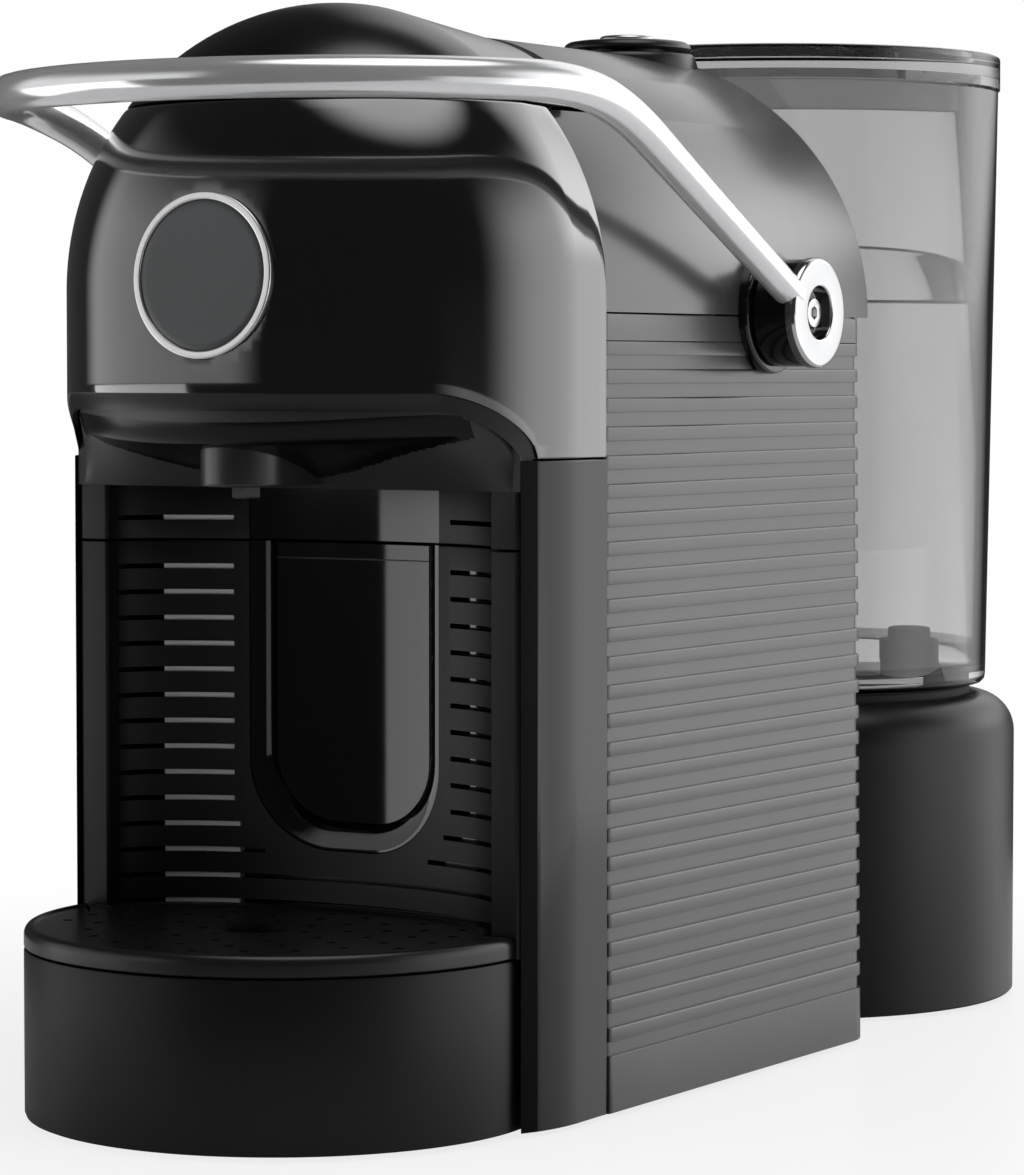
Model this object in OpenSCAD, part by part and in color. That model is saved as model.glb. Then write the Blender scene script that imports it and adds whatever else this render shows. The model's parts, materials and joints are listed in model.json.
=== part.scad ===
// Pod coffee machine: ribbed body, round head with a lift-up hatch, a hoop
// lever, a pull-out drip drum with its pod bin, and a lift-off water tank.
// Millimetres. Z is up, the cup side faces -Y, and the origin is on the floor
// below the middle of the machine.

/* [Overall] */
// Depth from the front of the drip drum to the back of the tank base
overall_d = 341; // [336:1:352]
// Width of the body at the floor
body_w = 125; // [122:1:130]
// Gap under the body, where the rubber feet show
foot_gap = 1; // [0.8:0.1:1.6]
// Wall of the moulded shells
wall = 2.4; // [2:0.1:2.8]
// Gap between two parts that are fitted side by side
fit_gap = 0.3; // [0.3:0.05:0.5]
// Gap round a part that slides, turns or lifts
play = 0.6; // [0.4:0.1:0.8]

/* [Body] */
// Height of the seam between the ribbed sides and the top cover
seam_z = 173; // [170:0.5:176]
// How far each side leans in between the floor and the seam
side_lean = 1.5; // [0.5:0.1:2]
// Extra rise along the crown of the top cover
crown = 2.5; // [1:0.1:3]
// Height of the smooth band below the ribs
band_h = 12.5; // [10:0.5:15]
// Distance from one rib to the next
rib_pitch = 6.15; // [5.5:0.05:7]
// Height of one rib along the side
rib_w = 3.1; // [2.5:0.1:3.5]
// How far the ribs stand out of their grooves
rib_h = 0.7; // [0.4:0.1:1]
// Radius of the upright rear corners
corner_r = 8; // [6:0.5:10]
// Thickness of the base plate
base_t = 3; // [2.5:0.1:4]
// Gap between the body and the tank base behind it
tank_gap = 2.5; // [2:0.1:4]

/* [Head] */
// Distance from the middle of the drum back to the front seam of the body
seam_setback = 31.4; // [28:0.2:34]
// Length of the straight sides of the front housing
head_straight = 13; // [11:0.5:15]
// How far the round front bulges ahead of its straight sides
head_bulge = 50; // [46:1:52]
// Height where the dome of the head begins
head_z = 178; // [176:0.5:180]
// How far the crown of the head stands above the top cover
head_over = 3.9; // [3:0.1:5]
// Underside of the lip over the cup
lip_z = 154; // [152:0.5:156]
// Radius of the lip where it turns down into the posts
lip_r = 13; // [10:0.5:15]
// Top of the side posts
post_top = 142; // [140:0.5:144]
// Width of the front face of one post
post_w = 4.6; // [4.2:0.1:5]
// Height of the parting line under the hatch
hatch_z = 218; // [214:0.5:220]
// Radius of the round badge with its ring
badge_r = 17.5; // [15:0.5:19]
// Width of the bright ring of the badge
badge_ring_w = 1.7; // [1.2:0.1:2.5]
// Height of the middle of the badge
badge_z = 180.6; // [179:0.2:183]

/* [Cup bay] */
// Width of the upright on each side of the curved wall behind the cup
bay_post_w = 7.6; // [7:0.1:9]
// How deep that wall curves back
bay_b = 22.5; // [20:0.5:30]
// Height of the drawer seam in that wall
bay_split_z = 123; // [121:0.5:125]
// Height where the fixed frame turns forward under the lip
bay_top_z = 135.5; // [134:0.5:137]
// Height of one slot in the wall
slot_h = 1.1; // [0.8:0.1:1.5]
// Distance from one slot to the next
slot_pitch = 5.76; // [5.2:0.02:6]
// Half width of the U-shaped window
window_w = 25; // [22:0.5:26]
// Height of the foot of that window
window_z = 54.5; // [52:0.5:58]
// Radius of its two lower corners
window_corner = 20; // [12:0.5:21]
// Radius of the coffee spout
spout_r = 9.7; // [8.5:0.1:11]
// How far the spout runs back from its round front
spout_run = 20; // [16:0.5:21]

/* [Drawer] */
// How far the drip drum stays inside the widest part of the body
drum_inset = 6; // [5.5:0.1:7]
// Height of the drum's side above the floor
drum_top = 37.5; // [36:0.5:39]
// Thickness of the perforated grille
grille_t = 4.5; // [4:0.1:5]
// Radius of one drip hole
drip_hole_r = 1.25; // [0.9:0.05:1.5]
// Radius of the finger hole in the grille
finger_hole_r = 6.7; // [6:0.1:8]
// Height of the pod bin
bin_h = 82; // [76:1:83]

/* [Tank] */
// Radius of the tank base
tank_base_r = 63; // [62:0.2:64]
// Height of the tank base
tank_base_h = 78; // [75:1:80]
// Radius of the shoulder round its top
shoulder_r = 10; // [8:0.5:12]
// Radius of the tank at its foot
tank_foot_r = 55.5; // [54.5:0.1:56]
// Radius of the tank at its rim
tank_rim_r = 58; // [57.5:0.1:58.2]
// Height of the tank itself
tank_h = 151.7; // [148:0.1:154]
// Wall of the tank
tank_wall = 1.8; // [1.5:0.1:2.2]
// Height of the band of the lid
lid_h = 8.5; // [7:0.1:9]
// Radius of the lid
lid_r = 58.5; // [58.4:0.1:58.7]

/* [Lever] */
// Height of the lever's axis
axis_z = 173.8; // [173:0.2:175]
// Distance of the lever's axis ahead of the rear of the body
axis_setback = 51.4; // [48:0.2:54]
// Radius of the lever's shaft
shaft_r = 5; // [4:0.1:5.5]
// Radial clearance of a turning shaft
shaft_play = 0.05; // [0.03:0.01:0.08]
// Radius of the round hubs
hub_r = 12.5; // [11.5:0.1:13]
// Length of one hub
hub_l = 11; // [10:0.2:12]
// Radius of the bar at the front of the hoop
bar_r = 4.3; // [3.8:0.1:4.6]
// Radius of the bar at the hubs
bar_root_r = 3.5; // [3.2:0.1:4]
// Height of the front of the hoop
hoop_z = 220; // [218:0.5:221]
// How far the hoop passes ahead of the head
hoop_ahead = 16.3; // [14:0.1:18]
// Slope of the arms
arm_slope = 26.6; // [24:0.2:28]

/* [Brewing parts] */
// Width of the slot that takes a pod
pod_slot_w = 38; // [34:0.5:40]
// Depth of that slot
pod_slot_d = 18; // [15:0.5:20]
// Height of the middle of the brewing chamber
brew_z = 188; // [186:0.5:190]
// Travel of the brewing piston
piston_travel = 25; // [20:0.5:25]
// Radius of the heater
boiler_r = 19; // [17:0.5:21]
// Radius of the pump's coil
pump_r = 16; // [14:0.5:17]
// Outer radius of the water hoses
hose_r = 3; // [2.5:0.1:3.5]
// Radius of the start button
button_r = 15.5; // [14:0.1:15.8]
// Travel of the start button
button_travel = 0.8; // [0.5:0.1:1]
// Thread radius of the screws
screw_r = 1.5; // [1.2:0.1:2]

/* [Hidden] */
$fn = 72;
eps = 0.01;
// Corners of the dome and of its ovals
dome_fn = 40;

// Places along the machine
drum_r = body_w / 2 - drum_inset;
drum_y = drum_r - overall_d / 2;
tank_y = overall_d / 2 - tank_base_r;
seam_y = drum_y + seam_setback;
rear_y = tank_y - tank_base_r - tank_gap;
head_y = seam_y - head_straight;
post_front_y = head_y - 16;
axis_y = rear_y - axis_setback;
floor_z = foot_gap + base_t;

// Widths of the shells
seam_half_w = body_w / 2 - side_lean;
body_in = seam_half_w - rib_h - wall;
head_a = body_w / 2 - 0.5;
corner_x = seam_half_w - corner_r;
cover_top = seam_z + seam_half_w + crown;
head_top = cover_top + head_over;
head_rise = head_top - head_z;

// Hatch: its rear edge is part of an oval in plan
hatch_a = head_a - 10;
hatch_back_y = head_y + 49;
hatch_b = hatch_back_y - head_y;
hinge_y = hatch_back_y - 2;
hinge_z = cover_top - 6.5;
hinge_pin_r = 1.5;
knuckle_r = 2.8;
deck_t = 2;
deck_top = hatch_z - play;

// Bay and drawer
bay_y = post_front_y;
bay_in = body_in - fit_gap;
bay_a = bay_in - bay_post_w;
slot_count = 15;
slot_top_z = bay_split_z + 0.6;
cup_y = drum_y - 11;
bin_w = 2 * (bay_a - 8);
bin_back_y = rear_y - 0.58 * (rear_y - seam_y);
bin_floor_z = drum_top;

// Lever
collar_r = hub_r + 1.3;
collar_out_x = seam_half_w + 2.4;
hub_in_x = collar_out_x + fit_gap;
hub_out_x = hub_in_x + hub_l;
arm_x = hub_out_x - 3.2;
hoop_y0 = head_y - 3.7;
hoop_reach = axis_y - head_y + head_bulge + hoop_ahead;
crank_r = 18;
crank_pin_r = 2.5;
frame_x = 27;
frame_t = 3;
piston_r = 17;

// Tank
tank_foot_z = tank_base_h + 2 + fit_gap;
tank_rim_z = tank_foot_z + tank_h;
port_x = 28;
port_y = tank_y + 17;
port_r = 9;

// Button
button_y = rear_y - 9.5;
button_base_top = cover_top + 0.7;
button_stem_r = 10;
flange_t = 1.6;

function half_w(z) = body_w / 2 - side_lean * z / seam_z;

// Oval outline, drawn from angle a0 to a1
function oval(a, b, a0 = 0, a1 = 360, n = 48) =
    [for (i = [0 : n]) let (t = a0 + (a1 - a0) * i / n) [a * cos(t), b * sin(t)]];

// Cross-section of the top cover, pulled in by inset, with its legs drawn down
function arch(inset, down = 0, n = 40) = concat(
    [for (i = [0 : n]) let (t = 180 * i / n, r = seam_half_w - inset)
        [r * cos(t), seam_z + r * sin(t) + crown * pow(sin(t), 12)]],
    [[-(seam_half_w - inset), seam_z - down], [seam_half_w - inset, seam_z - down]]);

// Section of one ribbed side: a smooth band, then grooves and ribs up to the seam
rib_count = floor((seam_z - foot_gap - band_h) / rib_pitch);
function rib_section() = concat(
    [[body_in, foot_gap], [half_w(foot_gap), foot_gap]],
    [for (i = [0 : rib_count - 1]) let (z = foot_gap + band_h + i * rib_pitch)
        each [[half_w(z), z], [half_w(z) - rib_h, z],
              [half_w(z) - rib_h, z + rib_pitch - rib_w], [half_w(z), z + rib_pitch - rib_w]]],
    [[half_w(seam_z), seam_z], [body_in, seam_z]]);

// Extrudes an X-Z outline along Y
module along_y(y0, y1) {
    translate([0, y1, 0]) rotate([90, 0, 0]) linear_extrude(y1 - y0) children();
}

// Extrudes a Y-Z outline along X
module along_x(x0, x1) {
    translate([x0, 0, 0]) rotate([90, 0, 90]) linear_extrude(x1 - x0) children();
}

module rod_x(x0, x1, r, y, z) {
    translate([x0, y, z]) rotate([0, 90, 0]) cylinder(h = x1 - x0, r = r);
}

module rod_y(y0, y1, r, x, z) {
    translate([x, y0, z]) rotate([-90, 0, 0]) cylinder(h = y1 - y0, r = r);
}

module block(low, high) {
    translate(low) cube(high - low);
}

module both_sides() {
    children();
    mirror([1, 0, 0]) children();
}

// A square push-fit elbow where a hose turns
module elbow(x, y, z) {
    translate([x, y, z]) cube(2 * hose_r + 2, center = true);
}

// ---- Body ----

module base_plate() {
    color("dimgray") difference() {
        union() {
            block([-body_in + fit_gap, seam_y + fit_gap, foot_gap],
                  [body_in - fit_gap, rear_y - corner_r, floor_z]);
            block([-corner_x + fit_gap, rear_y - corner_r - eps, foot_gap],
                  [corner_x - fit_gap, rear_y - wall - fit_gap, floor_z]);
            block([-30, rear_y - wall - 1, foot_gap], [30, tank_y, floor_z]);
            translate([0, tank_y, foot_gap])
                cylinder(h = base_t, r = tank_base_r - wall - fit_gap);
            for (x = [-35, 35]) translate([x, tank_y + 38, floor_z - eps])
                cylinder(h = 12, r = 4);
            for (x = [-1, 1]) translate([x * (body_in - 8), rear_y - 16, floor_z - eps])
                cylinder(h = 12, r = 4);
        }
        translate([0, drum_y, 0]) cylinder(h = 20, r = drum_r + 1);
        for (p = screw_points()) translate([p[0], p[1], foot_gap - eps])
            cylinder(h = base_t + 12 + 1, r = screw_r);
        for (p = foot_points()) translate([p[0], p[1], foot_gap - eps])
            cylinder(h = 1.2, r = 7);
    }
}

function screw_points() = [[-35, tank_y + 38], [35, tank_y + 38],
    [-(body_in - 8), rear_y - 16], [body_in - 8, rear_y - 16]];
function foot_points() = [[-46, seam_y + 45], [46, seam_y + 45],
    [-40, tank_y + 18], [40, tank_y + 18]];

module rubber_feet() {
    color("#1c1c1c") for (p = foot_points()) translate([p[0], p[1], 0])
        cylinder(h = foot_gap + 1.2 - eps, r = 7);
}

module base_screws() {
    color("silver") for (p = screw_points()) translate([p[0], p[1], foot_gap + 0.2])
        cylinder(h = base_t + 9, r = screw_r);
}

module ribbed_side() {
    difference() {
        union() {
            along_y(seam_y + fit_gap, rear_y - corner_r) polygon(rib_section());
            translate([corner_x, rear_y - corner_r, 0]) rotate_extrude(angle = 90)
                translate([-corner_x, 0]) polygon(rib_section());
        }
        rod_x(body_in - 5, body_w / 2 + 5, collar_r + fit_gap, axis_y, axis_z);
    }
}

module side_panel_right() {
    color("#9a9ca0") ribbed_side();
}

module side_panel_left() {
    color("#9a9ca0") mirror([1, 0, 0]) ribbed_side();
}

module top_cover() {
    color("#a3a5a8") difference() {
        along_y(seam_y + fit_gap, rear_y) difference() {
            translate([0, fit_gap]) polygon(arch(0));
            polygon(arch(wall, 5));
        }
        intersection() {
            block([-body_w, seam_y - 1, hatch_z - play], [body_w, hatch_back_y + 5, head_top]);
            translate([0, head_y, 0]) linear_extrude(head_top)
                polygon(oval(hatch_a + 2 * play, hatch_b + 2 * play));
        }
        hinge_sweep(0.8);
        both_sides() rod_x(body_in - 5, body_w / 2 + 5, collar_r + fit_gap, axis_y, axis_z);
        translate([0, button_y, seam_z]) cylinder(h = 80, r = button_r - 1 + fit_gap);
        translate([0, button_y, cover_top - flange_t - fit_gap])
            cylinder(h = 10, r = button_r + 0.9 + fit_gap);
    }
}

// What the rear edge of the hatch sweeps through as it turns
module hinge_sweep(gap) {
    r = cover_top - hinge_z + 0.6 + gap;
    rod_x(-8, 8, r, hinge_y, hinge_z);
    both_sides() translate([8 - eps, hinge_y, hinge_z]) rotate([0, 90, 0])
        cylinder(h = 17, r1 = r, r2 = 3);
}

module rear_panel() {
    color("#9a9ca0") difference() {
        along_y(rear_y - wall, rear_y) union() {
            block2([-corner_x + fit_gap, floor_z + fit_gap], [corner_x - fit_gap, seam_z + 1]);
            polygon(arch(wall + fit_gap));
        }
        translate([0, button_y, seam_z]) cylinder(h = 80, r = button_r + 1.5);
        rod_y(rear_y - 5, rear_y + 5, 5, -corner_x + 10, 16);
        rod_y(rear_y - 5, rear_y + 5, hose_r + play, hose_x, hose_z);
    }
}

module block2(low, high) {
    translate(low) square(high - low);
}

// ---- Head ----

// Plan outline of the head, pulled in by inset
module head_plan(inset) {
    a = head_a - inset;
    polygon(concat([for (p = oval(a, head_bulge - inset, 180, 360, dome_fn / 2)) [p[0], head_y + p[1]]],
        [[a, seam_y], [-a, seam_y]]));
}

// Solid inside the head's surface, pulled in by inset: a dome over the round
// front, running back into the arch of the top cover
head_foot = post_top - 4;
module head_solid(inset) {
    a = head_a - inset;
    hull() {
        translate([0, head_y, head_z])
            scale([a, head_bulge - inset, head_rise - inset])
            rotate_extrude($fn = dome_fn) polygon(concat([[0, 0]], oval(1, 1, 0, 90, dome_fn / 4)));
        translate([0, 0, head_foot]) linear_extrude(1) head_plan(inset);
        along_y(hatch_back_y + 2, hatch_back_y + 3) intersection() {
            polygon(arch(inset, seam_z - head_foot, dome_fn / 2));
            block2([-a, head_foot], [a, head_top]);
        }
    }
}

module front_housing() {
    color("#1b1c1e") resize([2 * head_a, 0, 0]) difference() {
        union() {
            difference() {
                head_solid(0);
                difference() {
                    head_solid(wall);
                    rod_y(head_y - head_bulge, head_y - head_bulge + 7, badge_r + 2, 0, badge_z);
                }
                block([-100, seam_y, 0], [100, rear_y, head_top]);
            }
            intersection() {
                head_solid(1);
                block([-100, head_y - 60, deck_top - deck_t], [100, seam_y, deck_top]);
            }
            intersection() {
                translate([0, head_y, deck_top - deck_t]) linear_extrude(deck_t)
                    polygon(oval(hatch_a, hatch_b, 0, 360, dome_fn));
                block([-36, head_y, 0], [36, hatch_back_y - 1, head_top]);
            }
        }
        block([-100, -200, deck_top], [100, rear_y, head_top + 5]);
        block([-100, -200, 0], [100, rear_y, post_top + fit_gap]);
        along_y(-200, seam_y + 1) lip_outline();
        badge_pocket();
        block([-pod_slot_w / 2, pod_front_y, 0], [pod_slot_w / 2, pod_back_y, head_top]);
    }
}

// Opening under the lip, with rounded upper corners
module lip_outline() {
    half = bay_in + fit_gap;
    block2([-half, 0], [half, lip_z - lip_r]);
    block2([-half + lip_r, 0], [half - lip_r, lip_z]);
    for (s = [-1, 1]) translate([s * (half - lip_r), lip_z - lip_r])
        circle(lip_r, $fn = dome_fn);
}

badge_y = head_y - head_bulge + 1;
badge_lean = 3;
module badge_place() {
    translate([0, badge_y, badge_z]) rotate([-badge_lean, 0, 0]) rotate([90, 0, 0]) children();
}

module badge_pocket() {
    badge_place() translate([0, 0, -1.2]) cylinder(h = 10, r = badge_r + fit_gap);
}

module badge_disc() {
    color("#4a4c4f") badge_place() translate([0, 0, -1.2])
        cylinder(h = 1.2, r = badge_r - badge_ring_w);
}

module badge_ring() {
    color("silver") badge_place() translate([0, 0, -1.2]) difference() {
        cylinder(h = 1.5, r = badge_r);
        translate([0, 0, -1]) cylinder(h = 4, r = badge_r - badge_ring_w);
    }
}

module side_post() {
    difference() {
        translate([0, 0, foot_gap]) linear_extrude(post_top - foot_gap) head_plan(0);
        block([-100, -200, -1], [head_a + 0.4 - post_w, seam_y + 1, post_top + 1]);
        block([0, -200, -1], [100, post_front_y, post_top + 1]);
    }
}

module side_post_right() {
    color("#2a2b2d") side_post();
}

module side_post_left() {
    color("#2a2b2d") mirror([1, 0, 0]) side_post();
}

// ---- Cup bay ----

// Plan of the curved wall with its two front pillars
module bay_plan() {
    intersection() {
        difference() {
            translate([0, bay_y]) polygon(oval(bay_a + wall, bay_b + wall));
            translate([0, bay_y]) polygon(oval(bay_a, bay_b));
        }
        block2([-bay_in, bay_y], [bay_in, 0]);
    }
    for (s = [-1, 1]) translate([s * (bay_a + bay_in) / 2, bay_y + 3])
        square([bay_in - bay_a, 6], center = true);
}

// The dished ceiling, sloping down from the lip to the fixed frame
module bay_frame() {
    front = head_y - head_bulge + wall + fit_gap;
    color("#5b5d60") difference() {
        union() {
            translate([0, 0, bay_split_z + 0.4]) linear_extrude(bay_top_z - bay_split_z)
                bay_plan();
            intersection() {
                along_x(-bay_in, bay_in) polygon([[front, lip_z - 2], [bay_y, bay_top_z],
                    [seam_y + 2, bay_top_z], [seam_y + 2, lip_z], [front, lip_z]]);
                linear_extrude(lip_z + 20) intersection() {
                    head_plan(wall + fit_gap);
                    block2([-bay_in, -200], [bay_in, seam_y]);
                }
            }
        }
        translate([0, spout_y, bay_top_z - 20]) linear_extrude(60) spout_plan(fit_gap);
    }
}

spout_y = drum_y - 14.6;
spout_foot_z = bay_top_z + 0.8;
chamber_foot_z = brew_z - 26;
module spout_plan(gap) {
    circle(spout_r + gap);
    block2([-spout_r - gap, 0], [spout_r + gap, spout_run + gap]);
}

module coffee_spout() {
    color("#3a3b3d") difference() {
        translate([0, spout_y, spout_foot_z]) {
            cylinder(h = chamber_foot_z - fit_gap - spout_foot_z, r = spout_r);
            linear_extrude(lip_z - spout_foot_z) spout_plan(0);
        }
        translate([0, spout_y, 0]) cylinder(h = 200, r = 2);
    }
}

module spout_nozzle() {
    color("#77797c") translate([0, spout_y, spout_foot_z - 1.7]) difference() {
        cylinder(h = 1.7, r = 3.4, $fn = 6);
        translate([0, 0, -1]) cylinder(h = 4, r = 2, $fn = 24);
    }
}

// ---- Drawer ----

module drip_drum() {
    color("#232426") difference() {
        union() {
            translate([0, drum_y, foot_gap]) rotate_extrude() polygon([[0, 0],
                [drum_r - 1, 0], [drum_r, 1], [drum_r, drum_top - foot_gap],
                [0, drum_top - foot_gap]]);
            block([-bin_w / 2, drum_y, drum_top - 3], [bin_w / 2, bin_back_y, drum_top]);
        }
        translate([0, drum_y, foot_gap + wall])
            cylinder(h = drum_top - foot_gap - wall - 2.5, r = drum_r - 2.5);
        translate([0, 0, foot_gap + wall]) linear_extrude(drum_top)
            grille_plan(2.5);
    }
}

// Plan of the grille: the drum's disc, ahead of the curved wall
module grille_plan(inset) {
    difference() {
        translate([0, drum_y]) circle(drum_r - inset);
        difference() {
            block2([-100, bay_y - play - inset], [100, 0]);
            translate([0, bay_y - play - inset])
                polygon(oval(bay_a - play - inset, bay_b - inset));
        }
    }
}

module bay_wall() {
    color("#5f6164") difference() {
        translate([0, 0, drum_top]) linear_extrude(bay_split_z - drum_top) bay_plan();
        for (i = [1 : slot_count - 1]) wall_slot(slot_top_z - i * slot_pitch, i);
        along_y(bay_y + 5, 0) union() {
            block2([-window_w, window_z + window_corner], [window_w, bay_split_z + 10]);
            block2([-window_w + window_corner, window_z],
                   [window_w - window_corner, bay_split_z]);
            for (s = [-1, 1])
                translate([s * (window_w - window_corner), window_z + window_corner])
                    circle(window_corner);
        }
    }
}

// Slots run either side of the window, and right across below it
module wall_slot(z, i) {
    inner = z < window_z - 2 ? 0 : window_w + 3.5;
    both_sides() block([inner - eps, bay_y + 1.2, z - slot_h], [bay_a - 0.6, 0, z]);
}

module pod_bin() {
    front = bay_y + bay_b + wall + fit_gap;
    color("#18191b") difference() {
        block([-bin_w / 2, bay_y + 14, bin_floor_z], [bin_w / 2, bin_back_y, bin_floor_z + bin_h]);
        translate([0, bay_y, 0]) linear_extrude(200)
            polygon(oval(bay_a + wall + fit_gap, bay_b + wall + fit_gap));
        block([-bin_w / 2 + 2, front + 2, bin_floor_z + 2],
              [bin_w / 2 - 2, bin_back_y - 2, bin_floor_z + bin_h + 5]);
    }
}

module drip_grille() {
    top = drum_top + fit_gap;
    hole_rings = [12, 20, 28, 36, 44];
    color("#1f2022") difference() {
        union() {
            translate([0, 0, top]) linear_extrude(grille_t - 1) grille_plan(0);
            translate([0, 0, top + eps]) linear_extrude(grille_t) grille_plan(1.5);
        }
        translate([0, 0, top + 2]) linear_extrude(grille_t - 1 - 2.4) grille_plan(4);
        translate([0, cup_y, 0]) cylinder(h = 100, r = finger_hole_r);
        for (r = hole_rings, i = [0 : r / 4]) let (t = 360 * i / (floor(r / 4) + 1) + r)
            translate([r * cos(t), cup_y + r * sin(t), 0])
                cylinder(h = 100, r = drip_hole_r, $fn = 13);
    }
}

module drawer_rails() {
    color("dimgray") both_sides()
        block([30, drum_y + drum_r + 2, floor_z], [36, bin_back_y - 2, drum_top - 3 - fit_gap]);
}

// ---- Tank ----

module tank_base() {
    z0 = foot_gap;
    h = tank_base_h;
    color("#8c8e91") difference() {
        translate([0, tank_y, 0]) rotate_extrude() difference() {
            tank_base_half(0, z0, h);
            tank_base_half(wall, z0 - 1, h - wall);
        }
        translate([port_x, port_y, 0]) cylinder(h = 100, r = port_r);
        block([-30 - fit_gap, rear_y - 5, 0], [30 + fit_gap, tank_y, floor_z + fit_gap]);
        rod_y(rear_y, tank_y, hose_r + play, hose_x, hose_z);
    }
}

module tank_base_half(inset, low, high) {
    r = tank_base_r - inset;
    f = shoulder_r - inset;
    block2([0, low], [r, high - f]);
    block2([0, low], [r - f, high]);
    translate([r - f, high - f]) circle(f);
}

module tank_seat_ring() {
    color("#2b2c2e") translate([0, tank_y, tank_base_h]) difference() {
        cylinder(h = 2, r = tank_foot_r - 4);
        translate([0, 0, -1]) cylinder(h = 4, r = tank_foot_r - 7);
    }
}

module tank_port() {
    color("#1a1a1a") translate([port_x, port_y, 0]) difference() {
        union() {
            translate([0, 0, tank_base_h - 12]) cylinder(h = 13, r = port_r);
            translate([0, 0, tank_base_h - 18]) cylinder(h = 7, r = hose_r + 1);
        }
        translate([0, 0, tank_base_h - 8]) cylinder(h = 20, r = 6);
        translate([0, 0, tank_base_h - 20]) cylinder(h = 30, r = 1.5);
    }
}

module water_tank() {
    color("#b9bcc0") translate([0, tank_y, tank_foot_z]) difference() {
        rotate_extrude() difference() {
            polygon([[0, 0], [tank_foot_r - 2, 0], [tank_foot_r, 2], [tank_rim_r, tank_h],
                [0, tank_h]]);
            polygon([[-1, tank_wall + 2], [tank_foot_r - tank_wall - 2, tank_wall + 2],
                [tank_foot_r - tank_wall, tank_wall + 4], [tank_rim_r - tank_wall, tank_h + 1],
                [-1, tank_h + 1]]);
        }
        translate([port_x, port_y - tank_y, -1]) cylinder(h = 20, r = 5);
    }
}

module tank_valve() {
    color("#1a1a1a") translate([port_x, port_y, tank_foot_z]) difference() {
        union() {
            translate([0, 0, tank_wall + 2]) cylinder(h = 5, r = 7);
            cylinder(h = tank_wall + 3, r = 5);
        }
        translate([0, 0, -1]) cylinder(h = 20, r = 2.6);
    }
}

module valve_poppet() {
    color("#2a2a2a") translate([port_x, port_y, tank_foot_z]) {
        translate([0, 0, tank_wall + 7 + fit_gap]) cylinder(h = 2.5, r = 5);
        translate([0, 0, 0.3]) cylinder(h = tank_wall + 8, r = 2);
    }
}

module tank_lid() {
    z = tank_rim_z + fit_gap;
    color("#c4c6c9") translate([0, tank_y, z]) rotate_extrude() polygon([
        [0, lid_h - 3.5], [lid_r - 6, lid_h - 3.5], [lid_r - 3, lid_h - 0.5], [lid_r - 2, lid_h],
        [lid_r - 0.6, lid_h], [lid_r, lid_h - 0.6], [lid_r, 0], [tank_rim_r - tank_wall - play, 0],
        [tank_rim_r - tank_wall - play - 0.4, -8], [tank_rim_r - tank_wall - play - 2, -8],
        [tank_rim_r - tank_wall - play - 2, lid_h - 5.5], [0, lid_h - 5.5]]);
}

// ---- Lever ----

// Height of the bar's middle at a distance y ahead of the axis
hoop_rise = hoop_z - axis_z;
knee_r = 92;
knee_y = knee_r * sin(arm_slope);
knee_end = (hoop_rise - knee_r * (1 - cos(arm_slope))) / tan(arm_slope) + knee_y;
arm_root = 8;
function bar_z(d) = d > knee_end ? hoop_z
    : d > knee_end - knee_y ? hoop_z - knee_r + sqrt(pow(knee_r, 2) - pow(knee_end - d, 2))
    : axis_z + d * tan(arm_slope);

// The hoop in plan is half an oval ahead of hoop_y0, with straight arms behind it
hoop_b = hoop_reach - (axis_y - hoop_y0);
function hoop_path() = concat(
    [for (y = [axis_y - arm_root : -9 : hoop_y0 + 5]) [arm_x, y]],
    [for (i = [0 : 24]) let (t = 180 * i / 24) [arm_x * cos(t), hoop_y0 - hoop_b * sin(t)]],
    [for (y = [axis_y - arm_root : -9 : hoop_y0 + 5]) [-arm_x, y]]);
function hoop_points() = let (p = hoop_path(), n = len(p), m = floor((n - 25) / 2))
    [for (i = [0 : n - 1]) let (q = i < m + 25 ? p[i] : p[n - 1 - (i - m - 25)])
        [q[0], q[1], bar_z(axis_y - q[1])]];
function unit(v) = v / norm(v);

// Skin of a round bar along points, as rings of corners joined by quads
module swept_bar(points, radii, sides) {
    n = len(points);
    rings = [for (i = [0 : n - 1]) let (
            t = unit(points[min(i + 1, n - 1)] - points[max(i - 1, 0)]),
            u = unit(cross(t, [0, 0, 1])),
            v = cross(u, t))
        each [for (k = [0 : sides - 1]) let (a = 360 * k / sides)
            points[i] + radii[i] * (u * cos(a) + v * sin(a))]];
    faces = concat(
        [[for (k = [0 : sides - 1]) k]],
        [for (i = [0 : n - 2], k = [0 : sides - 1]) let (j = (k + 1) % sides)
            [i * sides + k, (i + 1) * sides + k, (i + 1) * sides + j, i * sides + j]],
        [[for (k = [sides - 1 : -1 : 0]) (n - 1) * sides + k]]);
    polyhedron(rings, faces);
}

module lever_bar() {
    p = hoop_points();
    color("#d8dadc") difference() {
        swept_bar(p, [for (q = p) bar_root_r + (bar_r - bar_root_r)
            * min(1, (axis_y - q[1]) / (hoop_reach * 0.6))], 12);
        both_sides() rod_x(hub_in_x - 1, hub_out_x + 1, hub_r + shaft_play, axis_y, axis_z);
    }
}

module lever_hub() {
    difference() {
        rod_x(hub_in_x, hub_out_x, hub_r, axis_y, axis_z);
        rod_x(hub_in_x - 1, hub_in_x + 4, shaft_r, axis_y, axis_z);
        rod_x(hub_in_x + 3, hub_out_x + 1, screw_r + 0.1, axis_y, axis_z);
        rod_x(hub_out_x - 4, hub_out_x + 1, 6, axis_y, axis_z);
    }
}

module lever_hub_right() {
    color("#e2e4e6") lever_hub();
}

module lever_hub_left() {
    color("#e2e4e6") mirror([1, 0, 0]) lever_hub();
}

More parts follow.
